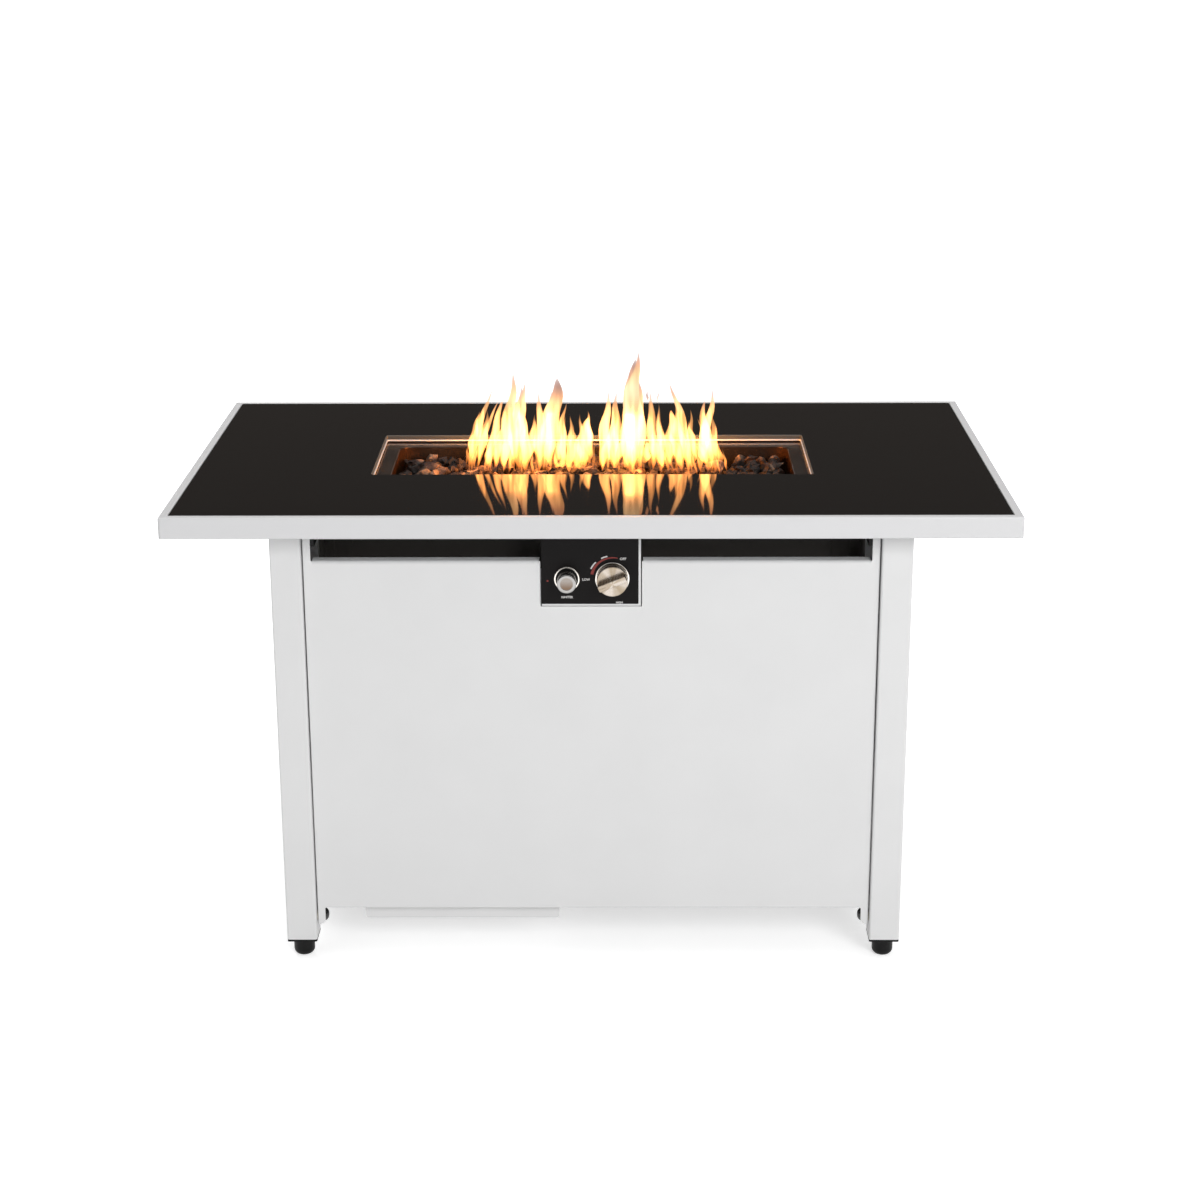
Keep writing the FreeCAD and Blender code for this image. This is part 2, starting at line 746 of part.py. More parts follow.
def heat_shield():
    bottom = deck_bottom - shield_depth
    walls = shield_walls(shield_sheet).cut(shield_walls(0))
    wing_front = -leg_face_y + shield_sheet
    pieces = [walls]
    for side in (-1, 1):
        outer = side * shield_half_length
        inner = side * (shield_half_length - shield_sheet)
        xs = sorted((outer, inner))
        pieces.append(block((xs[0], wing_front, bottom), (xs[1], -shield_front + shield_sheet, deck_bottom)))
        for inset in shield_bead_insets:
            left = side * (shield_half_length - inset) - shield_bead_width / 2
            low = (left, -shield_front - 2 * shield_sheet, bottom)
            high = (left + shield_bead_width, -shield_front, deck_bottom)
            pieces.append(block(low, high))
    rim = slab(shield_half_length, shield_front, deck_bottom - shield_sheet, deck_bottom)
    inner_x = shield_half_length - shield_rim
    inner_y = shield_front - shield_rim
    rim = rim.cut(slab(inner_x, inner_y, deck_bottom - 2 * shield_sheet, deck_bottom + 1))
    shield = joined(pieces + [rim])
    front = -shield_front - 4
    back = -shield_front + 4
    holes = [
        rod((knob_x, front, control_z), (knob_x, back, control_z), 1.5 * pipe_radius),
        rod((igniter_x, front, control_z), (igniter_x, back, control_z), pipe_radius),
        rod((thermo_x, front, thermo_z), (thermo_x, back, thermo_z), pipe_radius),
    ]
    return cut_all(shield, holes)


# Legs: closed square tubes with a bolting plate on top and a plastic foot pushed in below.
def leg_bolt_places():
    """Bolt centres in the plates on top of the legs."""
    places = []
    reach = leg_y - leg_size / 2 - leg_plate_reach / 2
    for side in (-1, 1):
        for end in (-1, 1):
            for offset in (-leg_size / 4, leg_size / 4):
                places.append((side * leg_x + offset, end * reach))
    return places


def leg_bolt_hole(x, y):
    low = crossmember_bottom - leg_plate - 1
    high = crossmember_bottom + tube_wall + 1
    return rod((x, y, low), (x, y, high), bolt_radius + running_gap)


def leg(side, end):
    x = side * leg_x
    y = end * leg_y
    half = leg_size / 2
    plate_bottom = crossmember_bottom - leg_plate
    outer = block((x - half, y - half, foot_height), (x + half, y + half, plate_bottom))
    outer = rounded(outer, leg_corner_radius, (0, 0, 1))
    inner_half = half - tube_wall
    low = (x - inner_half, y - inner_half, foot_height - 1)
    inner = block(low, (x + inner_half, y + inner_half, plate_bottom + 1))
    inner = rounded(inner, leg_corner_radius - tube_wall, (0, 0, 1))
    reach = -end * leg_plate_reach
    ys = sorted((y + end * half, y - end * half + reach))
    plate = block((x - half, ys[0], plate_bottom), (x + half, ys[1], crossmember_bottom))
    body = joined([outer.cut(inner), plate])
    holes = [leg_bolt_hole(bx, by) for bx, by in leg_bolt_places()]
    if end < 0:
        holes.append(hinge_hole(side * (leg_face_x - 1), side * (leg_face_x + 2 * tube_wall)))
    return cut_all(body, holes)


def frame_bolt(place, heading):
    """A button-head bolt whose head sits on a face at place and whose shank runs along heading."""
    face = V(*place)
    line = V(*heading)
    head = Part.makeCylinder(bolt_head_radius, bolt_head_height, face, line * -1)
    crown = face - line * bolt_head_height
    rim = [edge for edge in head.Edges if (edge.BoundBox.Center - crown).Length < 0.01]
    head = head.makeFillet(0.5 * bolt_head_height, rim)
    shank = Part.makeCylinder(bolt_radius, bolt_length, face, line)
    socket = Part.makeCylinder(0.6 * bolt_radius, 0.6 * bolt_head_height, crown, line)
    return head.fuse(shank).cut(socket)


def frame_bolts():
    bolts = [frame_bolt((x, y, crossmember_bottom - leg_plate), (0, 0, 1)) for x, y in leg_bolt_places()]
    z = lower_rail_base + lower_rail_height / 2
    outer = leg_x + lower_rail_width / 2
    for side in (-1, 1):
        for y in (-cross_rail_spread / 2, cross_rail_spread / 2):
            bolts.append(frame_bolt((side * outer, y, z), (-side, 0, 0)))
    return bolts


def foot(side, end):
    x = side * leg_x
    y = end * leg_y
    half = leg_size / 2
    flange = block((x - half, y - half, foot_height - foot_flange), (x + half, y + half, foot_height))
    flange = rounded(flange, leg_corner_radius, (0, 0, 1))
    glide = rod((x, y, 0), (x, y, foot_height - foot_flange), foot_radius)
    glide = glide.makeFillet(foot_round, edges_at(glide, 2, 0))
    plug_half = half - tube_wall - running_gap
    plug_low = (x - plug_half, y - plug_half, foot_height)
    plug = block(plug_low, (x + plug_half, y + plug_half, foot_height + foot_plug))
    plug = rounded(plug, leg_corner_radius - tube_wall, (0, 0, 1))
    return joined([flange, glide, plug])


# Lower frame: side rails welded between the legs, and two cross rails bolted between the side rails.
def lower_side_rail():
    half = lower_rail_width / 2
    low = (-leg_x - half, -leg_face_y, lower_rail_base)
    high = (-leg_x + half, leg_face_y, lower_rail_top)
    tube = square_tube(low, high, tube_wall, 1)
    tube = tube.makeFillet(tube_wall, edges_at_corners(tube, low, high))
    holes = []
    for y in (-cross_rail_spread / 2, cross_rail_spread / 2):
        z = lower_rail_base + lower_rail_height / 2
        holes.append(rod((low[0] - 1, y, z), (high[0] + 1, y, z), bolt_radius + running_gap))
    return cut_all(tube, holes)


def lower_cross_rail():
    half_x = leg_x - lower_rail_width / 2
    y = -cross_rail_spread / 2
    half = lower_rail_width / 2
    low = (-half_x, y - half, lower_rail_base)
    tube = square_tube(low, (half_x, y + half, lower_rail_top), tube_wall, 0)
    inner = half - tube_wall
    z_low = lower_rail_base + tube_wall
    z_high = lower_rail_top - tube_wall
    z = (z_low + z_high) / 2
    plugs = []
    bores = []
    for side in (-1, 1):
        xs = sorted((side * half_x, side * (half_x - lower_rail_width)))
        plugs.append(block((xs[0], y - inner, z_low), (xs[1], y + inner, z_high)))
        start = (side * (half_x + 1), y, z)
        bores.append(rod(start, (side * (half_x - bolt_length), y, z), bolt_radius + running_gap))
    bores += [tray_screw_hole(x, y) for x in tray_screw_columns()]
    return cut_all(joined([tube] + plugs), bores)


def tray_screw_columns():
    return (tray_left + lower_rail_width, tray_right - lower_rail_width)


def tray_screw_hole(x, y):
    return rod((x, y, lower_rail_top - 2 * tube_wall), (x, y, tray_top + 1), screw_radius + running_gap)


# Side and rear panels: shallow folded pans between the legs, screwed through their flanges.
def folded_panel(half_width, z_low, z_high):
    """A pan facing -Y with its face at y = 0 and its flanges running back."""
    outer = block((-half_width, 0, z_low), (half_width, panel_flange, z_high))
    outer = outer.makeFillet(panel_bend, edges_at(outer, 1, 0))
    inner_low = (-half_width + panel_sheet, panel_sheet, z_low + panel_sheet)
    inner_high = (half_width - panel_sheet, panel_flange + 1, z_high - panel_sheet)
    return outer.cut(block(inner_low, inner_high))


def panel_screw_heights():
    return (panel_bottom + 60.0, panel_top - 60.0)


def flange_screw_holes(half_width):
    """Screw holes through both side flanges of a pan that faces -Y."""
    holes = []
    for z in panel_screw_heights():
        y = panel_flange / 2
        holes.append(rod((-half_width - 2, y, z), (-half_width + 5, y, z), screw_radius + running_gap))
        holes.append(rod((half_width + 2, y, z), (half_width - 5, y, z), screw_radius + running_gap))
    return holes


def side_panel():
    half = leg_face_y
    pan = cut_all(folded_panel(half, panel_bottom, panel_top), flange_screw_holes(half))
    pan.translate(V(0, -(leg_span / 2 - panel_recess), 0))
    return turned(pan, -90)


def rear_panel():
    half = leg_face_x
    pan = folded_panel(half, panel_bottom, panel_top)
    slots = []
    for z_start in (panel_bottom + 70.0, panel_top - 70.0 - (vent_rows - 1) * vent_pitch):
        for row in range(vent_rows):
            z = z_start + row * vent_pitch
            for x in (-vent_spread, 0.0, vent_spread):
                half_w = vent_length / 2
                half_h = vent_height / 2
                corners = rectangle(x - half_w, x + half_w, z - half_h, z + half_h, 0.98 * half_h)
                slots.append(prism(corners, "y", -1, 3))
    pan = cut_all(pan, slots + flange_screw_holes(half))
    pan.translate(V(0, panel_front, 0))
    return turned(pan, 180)


def pan_head_screw(place, heading):
    """A small domed screw whose head sits on a face at place and whose shank runs along heading."""
    face = V(*place)
    line = V(*heading)
    head = Part.makeCylinder(2 * screw_radius, screw_head, face, line * -1)
    crown = face - line * screw_head
    rim = [edge for edge in head.Edges if (edge.BoundBox.Center - crown).Length < 0.01]
    head = head.makeFillet(0.6 * screw_head, rim)
    return head.fuse(Part.makeCylinder(screw_radius, screw_length, face, line))


def small_screws():
    """All the pan-head screws: panels to legs, tray to cross rails, control box to deck."""
    screws = []
    inner_y = leg_face_y - panel_sheet
    inner_x = leg_face_x - panel_sheet
    side_x = leg_span / 2 - panel_recess - panel_flange / 2
    rear_y = -panel_front - panel_flange / 2
    for z in panel_screw_heights():
        for side in (-1, 1):
            for end in (-1, 1):
                screws.append(pan_head_screw((side * side_x, end * inner_y, z), (0, end, 0)))
            screws.append(pan_head_screw((side * inner_x, rear_y, z), (side, 0, 0)))
    for y in (-cross_rail_spread / 2, cross_rail_spread / 2):
        for x in tray_screw_columns():
            screws.append(pan_head_screw((x, y, tray_top), (0, 0, -1)))
    for x, y in box_screw_places():
        screws.append(pan_head_screw((x, y, deck_bottom - control_box_sheet), (0, 0, 1)))
    return screws


def leg_screw_holes(side, end):
    """Holes in a leg's walls for the panel screws."""
    holes = []
    side_x = side * (leg_span / 2 - panel_recess - panel_flange / 2)
    rear_y = -panel_front - panel_flange / 2
    for z in panel_screw_heights():
        inner = end * (leg_face_y - 1)
        holes.append(rod((side_x, inner, z), (side_x, end * (leg_face_y + 3), z), screw_radius + running_gap))
        if end > 0:
            face = side * (leg_face_x - 1)
            beyond = side * (leg_face_x + 3)
            holes.append(rod((face, rear_y, z), (beyond, rear_y, z), screw_radius + running_gap))
    return holes


# Front door: one folded sheet. It drops forward on pins through the ears at its lower corners.
def front_door():
    notch_half = control_half + notch_gap
    notch_floor = control_bottom - notch_floor_gap
    strip_inner = door_half - door_strip
    low = door_strip_bottom
    ear_round = 0.8 * door_strip
    face = [
        (-door_half, low, 1.0),
        (-strip_inner, low, ear_round),
        (-strip_inner, panel_bottom, 1.0),
        (strip_inner, panel_bottom, 1.0),
        (strip_inner, low, ear_round),
        (door_half, low, 1.0),
        (door_half, door_strip_top, 1.0),
        (strip_inner, door_strip_top, 1.0),
        (strip_inner, door_top, 1.0),
        (notch_half, door_top, 1.0),
        (notch_half, notch_floor, 1.0),
        (-notch_half, notch_floor, 1.0),
        (-notch_half, door_top, 1.0),
        (-strip_inner, door_top, 1.0),
        (-strip_inner, door_strip_top, 1.0),
        (-door_half, door_strip_top, 1.0),
    ]
    back = panel_front + panel_sheet
    sheet = prism(face, "y", panel_front, back)
    flange_back = panel_front + panel_flange
    ear = [
        (panel_front - 1, low, 0),
        (flange_back, low, 0.45 * panel_flange),
        (flange_back, door_strip_top, 4.0),
        (panel_front - 1, door_strip_top, 0),
    ]
    folds = []
    relief = 1.5
    ear_plan = folded_edge(-door_half, 1, panel_flange)
    ear_bar = prism([(u, v, radius) for u, v, radius in ear_plan], "z", low, door_strip_top)
    ear_fold = ear_bar.common(prism(ear, "x", -door_half - 1, -strip_inner))
    ear_low = (-door_half - 1, panel_front - 1, low - 1)
    ear_space = block(ear_low, (-door_half + panel_bend + fold_land, back + 1, door_strip_top + 1))
    folds.append((ear_space, ear_fold))
    folds.append((mirror_x(ear_space), mirror_x(ear_fold)))
    runs = [
        (-strip_inner + relief, -notch_half - relief, door_top, -1, door_pull_flange, door_pull_bend),
        (notch_half + relief, strip_inner - relief, door_top, -1, door_pull_flange, door_pull_bend),
        (-notch_half + relief, notch_half - relief, notch_floor, -1, door_pull_flange, panel_bend),
        (-strip_inner + relief, strip_inner - relief, panel_bottom, 1, door_bottom_flange, panel_bend),
    ]
    for start, end, edge, inward, depth, bend in runs:
        profile = [(v, u, radius) for u, v, radius in folded_edge(edge, inward, depth, bend)]
        zs = sorted((edge - inward, edge + (bend + fold_land) * inward))
        space = block((start, panel_front - 1, zs[0]), (end, back + 1, zs[1]))
        folds.append((space, prism(profile, "x", start, end)))
    door = sheet.cut([space for space, fold in folds])
    door = joined([door] + [fold for space, fold in folds])
    return door.cut(hinge_hole(-2 * door_half, 2 * door_half))


def hinge_hole(start, end):
    """A running hole on the hinge line."""
    return rod((start, hinge_y, hinge_z), (end, hinge_y, hinge_z), hinge_pin_radius + running_gap)


def folded_edge(edge, inward, depth, bend=panel_bend):
    """A rounded fold of the door's sheet in plan: across the face from its edge, then back by depth."""
    back = panel_front + panel_sheet
    start = edge + (bend + fold_land) * inward
    return [
        (start, panel_front, 0),
        (edge, panel_front, bend),
        (edge, panel_front + depth, 0),
        (edge + panel_sheet * inward, panel_front + depth, 0),
        (edge + panel_sheet * inward, back, bend - panel_sheet),
        (start, back, 0),
    ]


# Hinge: a shoulder pin in each front leg, a nylon washer beside it and a black domed cap over its head.
def hinge_pin():
    tail = leg_face_x + 3 * tube_wall
    head_face = door_half - panel_sheet - seat_gap
    shank = rod((tail, hinge_y, hinge_z), (head_face, hinge_y, hinge_z), hinge_pin_radius)
    head = rod((head_face, hinge_y, hinge_z), (head_face - 4, hinge_y, hinge_z), 1.6 * hinge_pin_radius)
    return shank.fuse(head)


def hinge_washer():
    outer = leg_face_x - running_gap
    inner = door_half + running_gap
    ring = rod((inner, hinge_y, hinge_z), (outer, hinge_y, hinge_z), 2 * hinge_pin_radius)
    return ring.cut(hinge_hole(inner - 1, outer + 1))


def hinge_cap():
    base = door_half - panel_sheet - seat_gap
    dome = rod((base, hinge_y, hinge_z), (base - hinge_cap_height, hinge_y, hinge_z), hinge_cap_radius)
    dome = dome.makeFillet(0.85 * hinge_cap_radius, edges_at(dome, 0, base - hinge_cap_height))
    pocket_radius = 1.6 * hinge_pin_radius + running_gap
    pocket = rod((base + 1, hinge_y, hinge_z), (base - 4, hinge_y, hinge_z), pocket_radius)
    return dome.cut(pocket)


# Magnet catches: L-shaped blocks on the legs that hold the door's side strips shut.
def magnet_catch():
    z_high = door_strip_top - catch_drop
    z_low = z_high - catch_height
    behind_flange = panel_front + panel_flange + 1.0
    strip_back = panel_front + panel_sheet + seat_gap
    inner = leg_face_x - catch_reach
    beside_flange = door_half - panel_sheet - 4 * seat_gap
    mount = block((inner, behind_flange, z_low), (leg_face_x, -leg_face_y, z_high))
    arm = block((inner, strip_back, z_low), (beside_flange, behind_flange, z_high))
    return rounded(joined([mount, arm]), 0.8, (0, 0, 1))


# Control box: a white sheet box that hangs from the deck and holds the valve and the igniter.
def control_box():
    low = (-control_half, box_front, control_bottom)
    high = (control_half, box_front + control_box_depth, deck_bottom)
    outer = block(low, high)
    outer = outer.makeFillet(0.8 * control_box_sheet, edges_at(outer, 1, box_front))
    sheet = control_box_sheet
    inner_low = (low[0] + sheet, low[1] + sheet, low[2] + sheet)
    hollow = block(inner_low, (high[0] - sheet, high[1] + 1, high[2] - sheet))
    holes = control_holes(box_front)
    below = (knob_x, inlet_y, control_bottom - 1)
    holes.append(rod(below, (knob_x, inlet_y, control_bottom + 3), 1.5 * inlet_radius))
    holes += [box_screw_hole(x, y) for x, y in box_screw_places()]
    return cut_all(outer.cut(hollow), holes)


def control_holes(face):
    """Holes through a sheet whose front is at face, for the valve's boss and the igniter."""
    holes = []
    for x, radius in ((knob_x, valve_boss_radius), (igniter_x, igniter_housing_radius)):
        holes.append(rod((x, face - 1, control_z), (x, face + 2, control_z), radius + running_gap))
    return holes


def box_screw_places():
    y = box_front + 0.7 * control_box_depth
    return [(-0.7 * control_half, y), (0.7 * control_half, y)]


def box_screw_hole(x, y):
    return rod((x, y, deck_bottom - 3), (x, y, deck_top + 1), screw_radius + running_gap)


# Control plate: a black enamelled sheet on the box's face, set a little to the left.
def control_plate():
    low = control_bottom + control_margin
    corners = rectangle(-control_half, control_half - control_margin, low, rail_bottom + rail_sheet, 1.0)
    return prism(corners, "y", control_front, box_front).cut(control_holes(control_front))


# Valve: a cast body behind the box's face, with a boss through it, a nut and a push-to-turn stem.
def valve_body():
    half = valve_width / 2
    low = (knob_x - half, box_inner_front, control_z - half)
    high = (knob_x + half, valve_rear, control_z + half)
    casting = rounded(block(low, high), 3.0, (0, 1, 0))
    boss_front = control_front - 3.5
    boss = rod((knob_x, boss_front, control_z), (knob_x, box_inner_front, control_z), valve_boss_radius)
    bore_start = (knob_x, boss_front - 1, control_z)
    bore = rod(bore_start, (knob_x, washer_front, control_z), stem_radius + running_gap)
    chamber_rear = washer_front + washer_sheet + 3 * stem_travel
    chamber = rod((knob_x, washer_front, control_z), (knob_x, chamber_rear, control_z), 3 * stem_radius)
    return casting.fuse(boss).cut([bore, chamber])


def valve_nut():
    nut = hexagon(valve_nut_flats / 2, (knob_x, control_z), control_front - 3.0, control_front)
    start = (knob_x, control_front - 4, control_z)
    return nut.cut(rod(start, (knob_x, control_front + 1, control_z), valve_boss_radius + running_gap))


def stem_flat(gap):
    """The space over the flat on the stem's front end."""
    low = (knob_x - 5, stem_front - 1, control_z + 0.6 * stem_radius + gap)
    return block(low, (knob_x + 5, stem_front + knob_disc - 2, control_z + 5))


def as_set(shape):
    """Turned about the stem to the setting between low and high."""
    copy = shape.copy()
    copy.rotate(V(knob_x, 0, control_z), V(0, -1, 0), knob_turn)
    return copy


def valve_stem():
    stem = rod((knob_x, stem_front, control_z), (knob_x, washer_front, control_z), stem_radius)
    return as_set(stem.cut(stem_flat(0)))


def stem_washer():
    rear = (knob_x, washer_front + washer_sheet, control_z)
    return rod((knob_x, washer_front, control_z), rear, 2.7 * stem_radius)


def coil_spring(x, start, end, radius, wire, turns):
    """A coil about the Y direction between two seats, as arcs. Radius is that of the wire's centre line."""
    rise = (end - start - 2 * wire) / turns
    arcs = []
    spots = []
    for i in range(2 * turns + 1):
        side = math.cos(math.pi * i)
        here = V(x + radius * side, start + wire + rise * i / 2, control_z)
        spots.append((here, V(0, rise / (2 * math.pi), radius * side).normalize()))
    for (first, leave), (last, arrive) in zip(spots, spots[1:]):
        span = last - first
        spread = 2 * (1 - leave.dot(arrive))
        across = span.dot(leave + arrive)
        reach = (math.sqrt(across**2 + spread * span.dot(span)) - across) / spread
        corner_1 = first + leave * reach
        corner_2 = last - arrive * reach
        middle = (corner_1 + corner_2) * 0.5
        arcs.append(tangent_arc(first, corner_1, middle))
        arcs.append(tangent_arc(middle, corner_2, last))
    turns_of_wire = []
    for arc in arcs:
        along = arc.tangentAt(arc.FirstParameter)
        disc = Part.Face(Part.Wire(Part.makeCircle(wire, arc.valueAt(arc.FirstParameter), along)))
        sweep = math.degrees(arc.LastParameter - arc.FirstParameter)
        turns_of_wire.append(disc.revolve(arc.Curve.Center, arc.Curve.Axis, sweep))
    return joined(turns_of_wire)


def valve_spring():
    start = washer_front + washer_sheet
    return coil_spring(knob_x, start, start + 3 * stem_travel, 2.2 * stem_radius, 0.5, 4)


# Control knob: a round disc with a raised grip bar. The bar's notched end is the pointer.
def control_knob():
    back = control_front - knob_clearance
    face = back - knob_disc
    disc = rod((knob_x, back, control_z), (knob_x, face, control_z), knob_radius)
    disc = disc.makeFillet(1.5, edges_at(disc, 1, face))
    half = knob_grip_width / 2
    reach = knob_radius - 1.0
    grip_face = face - knob_grip
    bar_outline = rectangle(knob_x - reach, knob_x + reach, control_z - half, control_z + half, 2.0)
    bar = prism(bar_outline, "y", grip_face, back - 2)
    bar = bar.makeFillet(1.2, edges_at(bar, 1, grip_face))
    groove_low = (knob_x - reach - 1, grip_face - 1, control_z - 0.6)
    groove = block(groove_low, (knob_x - reach / 2, grip_face + 0.6, control_z + 0.6))
    knob = disc.fuse(bar).cut(groove)
    recess_radius = valve_nut_flats / 2 + 3
    hub_radius = stem_radius + 2.5
    recess = rod((knob_x, back + 1, control_z), (knob_x, face + 1.5, control_z), recess_radius)
    hub = rod((knob_x, back - 1.5, control_z), (knob_x, face, control_z), hub_radius)
    bore = rod((knob_x, back + 1, control_z), (knob_x, stem_front, control_z), stem_radius + running_gap)
    knob = knob.cut(recess.cut(hub)).cut(bore.cut(stem_flat(running_gap)))
    return as_set(knob)


def knob_bezel():
    back = control_front
    ring = rod((knob_x, back, control_z), (knob_x, back - knob_bezel_height, control_z), knob_bezel_radius)
    ring = ring.makeFillet(0.8, edges_at(ring, 1, back - knob_bezel_height))
    hole_radius = valve_nut_flats / 2 + 3
    return ring.cut(rod((knob_x, back + 1, control_z), (knob_x, back - 5, control_z), hole_radius))


# Gas inlet: a flare fitting under the valve, where the regulator hose screws on.
def gas_inlet():
    top = control_z - valve_width / 2
    nut = rod((knob_x, inlet_y, top), (knob_x, inlet_y, top - 8), 1.25 * inlet_radius)
    thread = rod((knob_x, inlet_y, top - 8), (knob_x, inlet_y, top - 8 - inlet_length - 6), inlet_radius)
    thread = thread.makeChamfer(1.5, edges_at(thread, 2, top - 8 - inlet_length - 6))
    fitting = nut.fuse(thread)
    return fitting.cut(rod((knob_x, inlet_y, top + 1), (knob_x, inlet_y, top - 40), inlet_radius / 2))


# Igniter: a chromed collar, a black threaded housing with the battery in it, and a sprung push button.
def igniter_body():
    rear = spring_seat + battery_length + 4
    shell = rod((igniter_x, housing_front, control_z), (igniter_x, rear, control_z), igniter_housing_radius)
    mouth_start = (igniter_x, housing_front - 1, control_z)
    mouth = rod(mouth_start, (igniter_x, spring_seat, control_z), igniter_button_radius + running_gap)
    cell_end = (igniter_x, spring_seat + battery_length, control_z)
    cell = rod((igniter_x, spring_seat - 1, control_z), cell_end, battery_radius + running_gap)
    return shell.cut([mouth, cell])


def igniter_collar():
    back = control_front
    face = housing_front + 0.5
    ring = rod((igniter_x, back, control_z), (igniter_x, face, control_z), igniter_collar_radius)
    ring = ring.makeFillet(1.2, edges_at(ring, 1, face))
    hole = igniter_housing_radius + running_gap
    return ring.cut(rod((igniter_x, back + 1, control_z), (igniter_x, face - 1, control_z), hole))


def igniter_button():
    face = control_front - igniter_button_proud
    cap = rod((igniter_x, face, control_z), (igniter_x, button_back, control_z), igniter_button_radius)
    cap = cap.makeFillet(1.8, edges_at(cap, 1, face))
    dish_radius = 0.66 * igniter_button_radius
    dish = rod((igniter_x, face - 1, control_z), (igniter_x, face + 0.8, control_z), dish_radius)
    hollow_start = (igniter_x, face + 4, control_z)
    hollow = rod(hollow_start, (igniter_x, button_back + 1, control_z), igniter_button_radius - 2)
    post = rod((igniter_x, face + 3, control_z), (igniter_x, button_back, control_z), battery_radius)
    return cap.cut([dish, hollow]).fuse(post)


def igniter_spring():
    return coil_spring(igniter_x, button_back, spring_seat, igniter_button_radius - 1.2, 0.6, 4)


def battery():
    start = spring_seat
    return rod((igniter_x, start, control_z), (igniter_x, start + battery_length, control_z), battery_radius)


# Pipe and leads that the box, the shield and the bowl hold all the way.
def feed_pipe():
    front = -mixer_length - 8
    points = [
        (knob_x, valve_rear, control_z),
        (knob_x, -shield_front + pipe_lead_in, control_z),
        (0, front - pipe_run_out, mixer_z),
        (0, front, mixer_z),
    ]
    return pipe_route(points, pipe_radius)


def igniter_lead():
    rear = spring_seat + battery_length + 4
    points = [
        (igniter_x, rear, control_z),
        (igniter_x, -shield_front + lead_run_in, control_z),
    ]
    return pipe_route(points + lead_tail(-probe_x), lead_radius)


def thermocouple_line():
    points = [
        (thermo_x, valve_rear, thermo_z),
        (thermo_x, -shield_front + lead_run_in, thermo_z),
    ]
    return pipe_route(points + lead_tail(probe_x), lead_radius)


def lead_tail(x):
    """The last points of a lead, under the bowl and up to its probe's lower end."""
    base = bowl_floor - probe_tail
    low = base - lead_drop
    return [(x, -0.65 * shield_front, low), (x, probe_y, low), (x, probe_y, base)]


# Tank tray: a folded plate on the cross rails. The tank's foot ring drops into its hole.
def tank_tray():
    front = panel_front + door_bottom_flange + tray_front_gap
    rear = cross_rail_spread / 2 + lower_rail_width / 2 + tray_front_gap
    flange_end = cross_rail_spread / 2 - lower_rail_width / 2 - tray_front_gap
    drop = tray_top - tray_lip - tray_sheet
    plate = block((tray_left, front, lower_rail_top), (tray_right, rear, tray_top))
    lip = prism([
        (tray_left, drop, tray_corner_radius),
        (tray_right, drop, tray_corner_radius),
        (tray_right, tray_top, 0),
        (tray_left, tray_top, 0),
    ], "y", front, front + tray_sheet)
    left = block((tray_left, -flange_end, drop), (tray_left + tray_sheet, flange_end, tray_top))
    right = block((tray_right - tray_sheet, -flange_end, drop), (tray_right, flange_end, tray_top))
    tray = joined([plate, lip, left, right])
    bend = [edge for edge in edges_at(tray, 1, front) if edge.BoundBox.ZMin > tray_top - 0.01]
    tray = tray.makeFillet(0.8 * tray_sheet, bend)
    nut = rod((tray_right, 0, clamp_z), (tray_right + clamp_nut_length, 0, clamp_z), 1.9 * clamp_screw_radius)
    holes = [rod((tank_x, 0, drop), (tank_x, 0, tray_top + 1), tank_hole_radius)]
    for y in (-cross_rail_spread / 2, cross_rail_spread / 2):
        holes += [tray_screw_hole(x, y) for x in tray_screw_columns()]
    bore_start = (tray_right - 2 * tray_sheet, 0, clamp_z)
    bore_end = (tray_right + clamp_nut_length + 1, 0, clamp_z)
    holes.append(rod(bore_start, bore_end, clamp_screw_radius + running_gap))
    return cut_all(joined([tray, nut]), holes)


# Clamp: a screw with a star knob, through the nut on the tray, that presses a swivel pad on the tank's ring.
def clamp_pad():
    pad = rod((clamp_pad_face, 0, clamp_z), (clamp_pad_face + clamp_pad_sheet, 0, clamp_z), clamp_pad_radius)
    pad = pad.makeFillet(1.0, edges_at(pad, 0, clamp_pad_face))
    start = clamp_pad_face + clamp_pad_sheet / 2
    return pad.cut(rod((start, 0, clamp_z), (start + 10, 0, clamp_z), clamp_screw_radius / 2 + running_gap))


def clamp_screw():
    nose_start = clamp_pad_face + clamp_pad_sheet / 2 + running_gap
    neck = clamp_pad_face + clamp_pad_sheet + running_gap
    nose = rod((nose_start, 0, clamp_z), (neck, 0, clamp_z), clamp_screw_radius / 2)
    shank = rod((neck, 0, clamp_z), (clamp_knob_x, 0, clamp_z), clamp_screw_radius)
    return nose.fuse(shank)


def clamp_knob():
    """A star knob moulded on the end of the clamp screw."""
    body = rod((clamp_knob_x - 6, 0, clamp_z), (clamp_knob_x + 6, 0, clamp_z), clamp_knob_radius)
    scallops = []
    for i in range(6):
        turn = math.radians(60 * i + 30)
        y = 1.25 * clamp_knob_radius * math.cos(turn)
        z = clamp_z + 1.25 * clamp_knob_radius * math.sin(turn)
        scallops.append(rod((clamp_knob_x - 7, y, z), (clamp_knob_x + 7, y, z), 0.42 * clamp_knob_radius))
    body = body.cut(scallops)
    start = (clamp_knob_x - 7, 0, clamp_z)
    return body.cut(rod(start, (clamp_knob_x, 0, clamp_z), clamp_screw_radius + running_gap))


